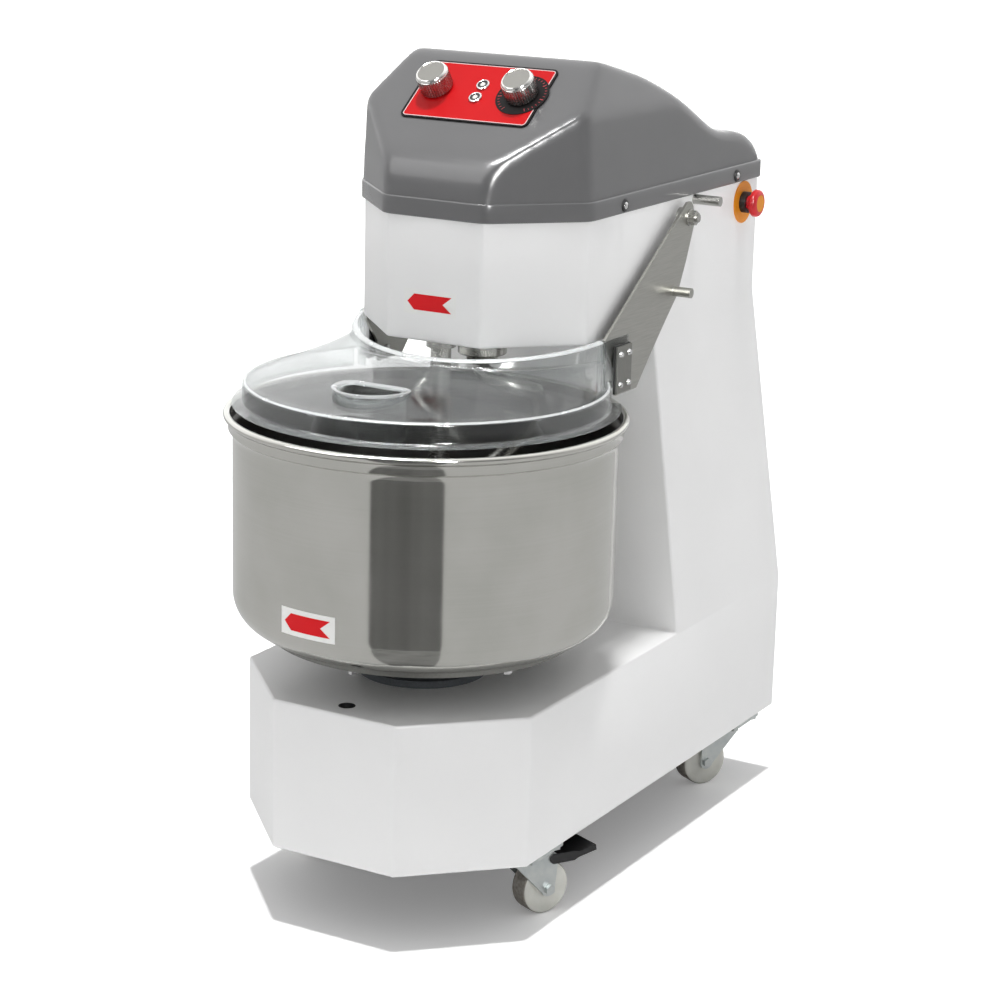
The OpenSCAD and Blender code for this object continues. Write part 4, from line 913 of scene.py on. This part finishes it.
def cover_screws():
    """Hood screws in black cup washers, and pan head screws on the rear cover."""
    cup = [(2.7, 0.1), (9, 0.1), (9, 0.8)] + bend(7.6, 0.9, 1.2, 0, 90, 5)
    cup += [(5.6, 2.1), (5.2, 1.2), (2.7, 1.2), (2.7, 0.1)]
    cap = [(0, 1.2), (5, 1.2), (5, 2.2)] + crown(0, 2.2, 4.9, 1.9, (25, 50, 70)) + [(0, 4.1)]
    pan = [(0, 0.1), (4.8, 0.1), (4.8, 0.9), (4.2, 1.7), (2.6, 2.4), (2.2, 1.6), (0, 1.6)]
    cups, heads = [], []
    hood_screw = 11 * MM
    for y in (head_low.y + 193 * MM, head_high.y - 87 * MM):
        for side in (-1, 1):
            place = standing((side * hood_high.x, y, hood_low.z + hood_screw), (side, 0, 0))
            cups.append(spun(metres(*cup), 40, place)[:2])
            heads.append(spun(metres(*cap), 36, place)[:2])
    low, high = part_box("rear_cover")
    for x in (low.x + 8 * MM, 0, high.x - 8 * MM):
        for z in (low.z + 7 * MM, high.z - 7 * MM):
            heads.append(spun(metres(*pan), 36, standing((x, high.y, z), (0, 1, 0)))[:2])
    make("screw_cups", *merged(cups), "frame", black_abs, None, "black_plastic")
    make("screw_heads", *merged(heads), "frame", plated, None, "screw_steel", ["cover_screws"])


cover_screws()

# ---------------------------------------------------------------- arrow labels


def arrow_label(name, body, at, width, height):
    """White vinyl label with a red arrow for the bowl's way of turning. at(u, v, lift) gives a point."""
    tip, neck, notch, tail = 0.07, 0.2, 0.75, 0.92
    upper, lower = 0.82, 0.18
    back_lift, face_lift, ink_lift = 0.02 * MM, 0.25 * MM, 0.4 * MM

    def edge_v(u, v0):
        """Upper or lower edge of the arrow at u: a point at the tip, and straight from the neck on."""
        if u < tip:
            return 0.5
        if u < neck:
            return 0.5 + (v0 - 0.5) * (u - tip) / (neck - tip)
        return v0

    columns = 26
    grid = [(i / columns, j) for i in range(columns + 1) for j in (0.0, 1.0)]
    sheet = [at(u * width, v * height, face_lift) for u, v in grid]
    back = [at(u * width, v * height, back_lift) for u, v in grid]
    n = len(sheet)
    faces = []
    for i in range(columns):
        a = 2 * i
        faces.append((a, a + 2, a + 3, a + 1))
        faces.append((n + a, n + a + 1, n + a + 3, n + a + 2))
        faces.append((a, n + a, n + a + 2, a + 2))
        faces.append((a + 1, a + 3, n + a + 3, n + a + 1))
    faces.append((0, 1, n + 1, n))
    faces.append((n - 2, 2 * n - 2, 2 * n - 1, n - 1))
    make(name + "_label", sheet + back, faces, body, label_white, None, "painted_casing")
    # the arrow is a strip on each side of its middle, and the two part at the notch in its tail
    arrow_faces, arrow_points = [], []
    steps = sorted([tip + (tail - tip) * i / 28 for i in range(29)] + [neck, notch])
    for u in steps:
        inner = 0.0 if u <= notch else (u - notch) / (tail - notch)
        for v0 in (lower, upper):
            arrow_points.append(at(u * width, edge_v(u, v0) * height, ink_lift))
            arrow_points.append(at(u * width, (0.5 + (v0 - 0.5) * inner) * height, ink_lift))
    for i in range(len(steps) - 1):
        a = 4 * i
        arrow_faces.append((a, a + 4, a + 5, a + 1))
        arrow_faces.append((a + 3, a + 7, a + 6, a + 2))
    arrow = make(name + "_arrow", arrow_points, arrow_faces, body, label_red, None, "panel_red")
    arrow.visible_glossy = False


def on_bowl(u, v, lift):
    """A point on the bowl's outer wall, from the label's lower left corner."""
    a = math.radians(-103.5) + u / bowl_r
    r = bowl_r + lift
    return Vector((*oval(0, middle("bowl").y, r, r, a), bowl_low.z + 41 * MM + v))


def on_head(u, v, lift):
    """A point on the head's front, from the label's lower left corner."""
    return Vector((-46 * MM + u, head_low.y - lift, head_low.z + 36 * MM + v))


arrow_label("bowl", "bowl", on_bowl, 87 * MM, 36 * MM)
arrow_label("head", "frame", on_head, 81 * MM, 34 * MM)

# ---------------------------------------------------------------- castor wheels


def wheel(corner):
    """Cast nylon wheel: rounded and scuffed tread, dished sides and a raised hub."""
    body, node = "roller_" + corner, "wheel_" + corner
    joint = [j for j in frame["joints"] if j["child"] == body][0]
    place = standing(joint["pos_m"], joint["axis"])
    r, bore = 37.5, 4.05
    side = [(bore, 16), (10, 16), (11, 15), (13, 14.2), (22, 13.6), (29, 14.2), (32, 15), (34, 14.8)]
    shoulder = bend(33.5, 11, 4, 70, 8, 5)
    tread = [(r, 8), (r, 0), (r, -8)]
    profile = side + shoulder + tread + [(x, -h) for x, h in (side + shoulder)[::-1]] + side[:1]
    points, faces, zone = spun(metres(*profile), 72, place)
    # the tread begins and ends on the shoulders
    first, last = len(side) + 2, len(side) + len(shoulder) + 5
    zones = [1 if first <= z <= last else 0 for z in zone]
    make(node + "_cast", points, faces, body, [nylon, nylon_tread], zones, "castor_nylon", [node], 40)


for corner in ("front_left", "front_right", "rear_left", "rear_right"):
    wheel(corner)

# ---------------------------------------------------------------- camera, floor and light

centre_y = middle("bowl").y
camera = bpy.data.objects.new("camera", bpy.data.cameras.new("camera"))
scene.collection.objects.link(camera)
turn, tilt, roll = math.radians(30.49), math.radians(14.76), math.radians(1.21)
forward = Vector((-math.sin(turn) * math.cos(tilt), math.cos(turn) * math.cos(tilt), -math.sin(tilt)))
right = Vector((math.cos(turn), math.sin(turn), 0))
up = right.cross(forward)
right_r = right * math.cos(roll) + up * math.sin(roll)
up_r = -right * math.sin(roll) + up * math.cos(roll)
spot = Vector((1.8321, -3.0095 + centre_y, 1.5069))
camera.matrix_world = Matrix((
    (right_r.x, up_r.x, -forward.x, spot.x), (right_r.y, up_r.y, -forward.y, spot.y),
    (right_r.z, up_r.z, -forward.z, spot.z), (0, 0, 0, 1)))
camera.data.sensor_width = 36
camera.data.lens = 97.01
camera.data.shift_x, camera.data.shift_y = 0.0363, -0.0162
camera.data.clip_end = 100
scene.camera = camera


def ray_kinds(tree):
    """1 where the eye looks straight or through clear sheet, and 1 where a reflection looks."""
    seen = add(tree, "LightPath")
    straight = add(tree, "Math", {"operation": "MAXIMUM"},
                   {0: seen.outputs["Is Camera Ray"], 1: seen.outputs["Is Transmission Ray"]})
    return straight.outputs[0], seen.outputs["Is Glossy Ray"]


floor_material, tree, shader, _ = finish("studio_floor_white", "#ffffff", 0.9)
shader.inputs["Specular IOR Level"].default_value = 0.0
straight, mirrored = ray_kinds(tree)
bounce = add(tree, "MixRGB", inputs={0: mirrored, 1: paint("#ededed"), 2: paint("#b4b4b4")})
tone = add(tree, "MixRGB", inputs={0: straight, 1: bounce.outputs[0], 2: paint("#ffffff")})
tree.links.new(tone.outputs[0], shader.inputs["Base Color"])
shader.inputs["Emission Color"].default_value = paint("#ffffff")
glow = add(tree, "MapRange", inputs={"Value": straight, "To Max": 0.16})
tree.links.new(glow.outputs[0], shader.inputs["Emission Strength"])
floor = bpy.data.objects.new("studio_floor", bpy.data.meshes.new("studio_floor"))
floor.data.from_pydata([(-30, -30, 0), (30, -30, 0), (30, 30, 0), (-30, 30, 0)], [], [(0, 1, 2, 3)])
floor.data.materials.append(floor_material)
scene.collection.objects.link(floor)

world = bpy.data.worlds.new("studio")
scene.world = world
world.use_nodes = True
tree = world.node_tree
tree.nodes.clear()
straight, mirrored = ray_kinds(tree)
# reflections see a dark room in front of the machine and a bright backdrop behind and above it
toward = add(tree, "TexCoord").outputs["Generated"]
side = add(tree, "VectorMath", {"operation": "DOT_PRODUCT"}, {0: toward, 1: (-0.38, 0.65, 0.66)})
room = add(tree, "MapRange", {"interpolation_type": "SMOOTHSTEP"}, {
    "Value": side.outputs["Value"], "From Min": -0.5, "From Max": 0.9, "To Min": 0.22, "To Max": 1.42})
soft_light = add(tree, "Mix", inputs={"Factor": mirrored})
soft_light.inputs[2].default_value = 0.56
tree.links.new(room.outputs[0], soft_light.inputs[3])
strength = add(tree, "Mix", inputs={"Factor": straight})
tree.links.new(soft_light.outputs[0], strength.inputs[2])
strength.inputs[3].default_value = 1.0
backdrop = add(tree, "Background", inputs={"Color": paint("#ffffff"), "Strength": strength.outputs[0]})
add(tree, "OutputWorld", inputs={"Surface": backdrop.outputs[0]})


def softbox(name, toward, distance, width, height, power, diffuse=False):
    """A studio softbox that far from the hood, in that direction."""
    lamp = bpy.data.objects.new(name, bpy.data.lights.new(name, "AREA"))
    lamp.data.shape, lamp.data.size, lamp.data.size_y, lamp.data.energy = "RECTANGLE", width, height, power
    aim = Vector((0, centre_y, 1.0))
    lamp.location = aim + Vector(toward).normalized() * distance
    lamp.rotation_euler = (aim - lamp.location).to_track_quat("-Z", "Y").to_euler()
    lamp.visible_diffuse = diffuse
    lamp.visible_transmission = False
    scene.collection.objects.link(lamp)


def overhead(name, energy, angle, state, blockers=()):
    """A soft overhead lamp that lights the floor only, or all but the floor."""
    lamp = bpy.data.objects.new(name, bpy.data.lights.new(name, "SUN"))
    lamp.data.energy, lamp.data.angle = energy, math.radians(angle)
    lamp.visible_glossy = False
    scene.collection.objects.link(lamp)
    lit = bpy.data.collections.new(name + "_lights")
    lit.objects.link(floor)
    lamp.light_linking.receiver_collection = lit
    lit.collection_objects[0].light_linking.link_state = state
    if blockers:
        shades = bpy.data.collections.new(name + "_shades")
        for one in blockers:
            shades.objects.link(one)
        lamp.light_linking.blocker_collection = shades


overhead("overhead", 2.3, 6, "EXCLUDE")
overhead("overhead_floor", 2.5, 3, "INCLUDE", [bpy.data.objects["casing_body"]])
softbox("strip_high", (-0.06, -0.46, 0.9), 2.6, 1.6, 0.45, 130)
softbox("strip_low", (0.64, -0.71, 0.33), 2.6, 0.4, 1.3, 90)
softbox("window_left", (-0.49, -0.69, 0.52), 2.8, 1.8, 1.8, 26)


def dark_card():
    """A dark studio card in front, that only reflections see: it gives the bowl its dark upright band."""
    points, steps = [], 16
    far, near, foot, top = 0.95, 0.2, 0.001, 1.1
    for i in range(steps + 1):
        a = math.radians(-86.2 + 37.1 * i / steps)
        for r, z in ((far, foot), (far, top), (near, foot)):
            points.append((*oval(0, centre_y, r, r, a), z))
    faces = [(3 * i, 3 * i + 3, 3 * i + 4, 3 * i + 1) for i in range(steps)]
    faces += [(3 * i + 2, 3 * i + 5, 3 * i + 3, 3 * i) for i in range(steps)]
    card_material, tree, shader, place = finish("studio_card_dark", "#707070", 0.9)
    mottle(tree, shader, place, 160, "#666666", "#828282", (1, 1, 0.05))
    card = make("studio_card", points, faces, None, card_material, sharp=0)
    card.visible_camera = card.visible_diffuse = card.visible_shadow = card.visible_transmission = False


dark_card()

scene.view_settings.view_transform = "Standard"
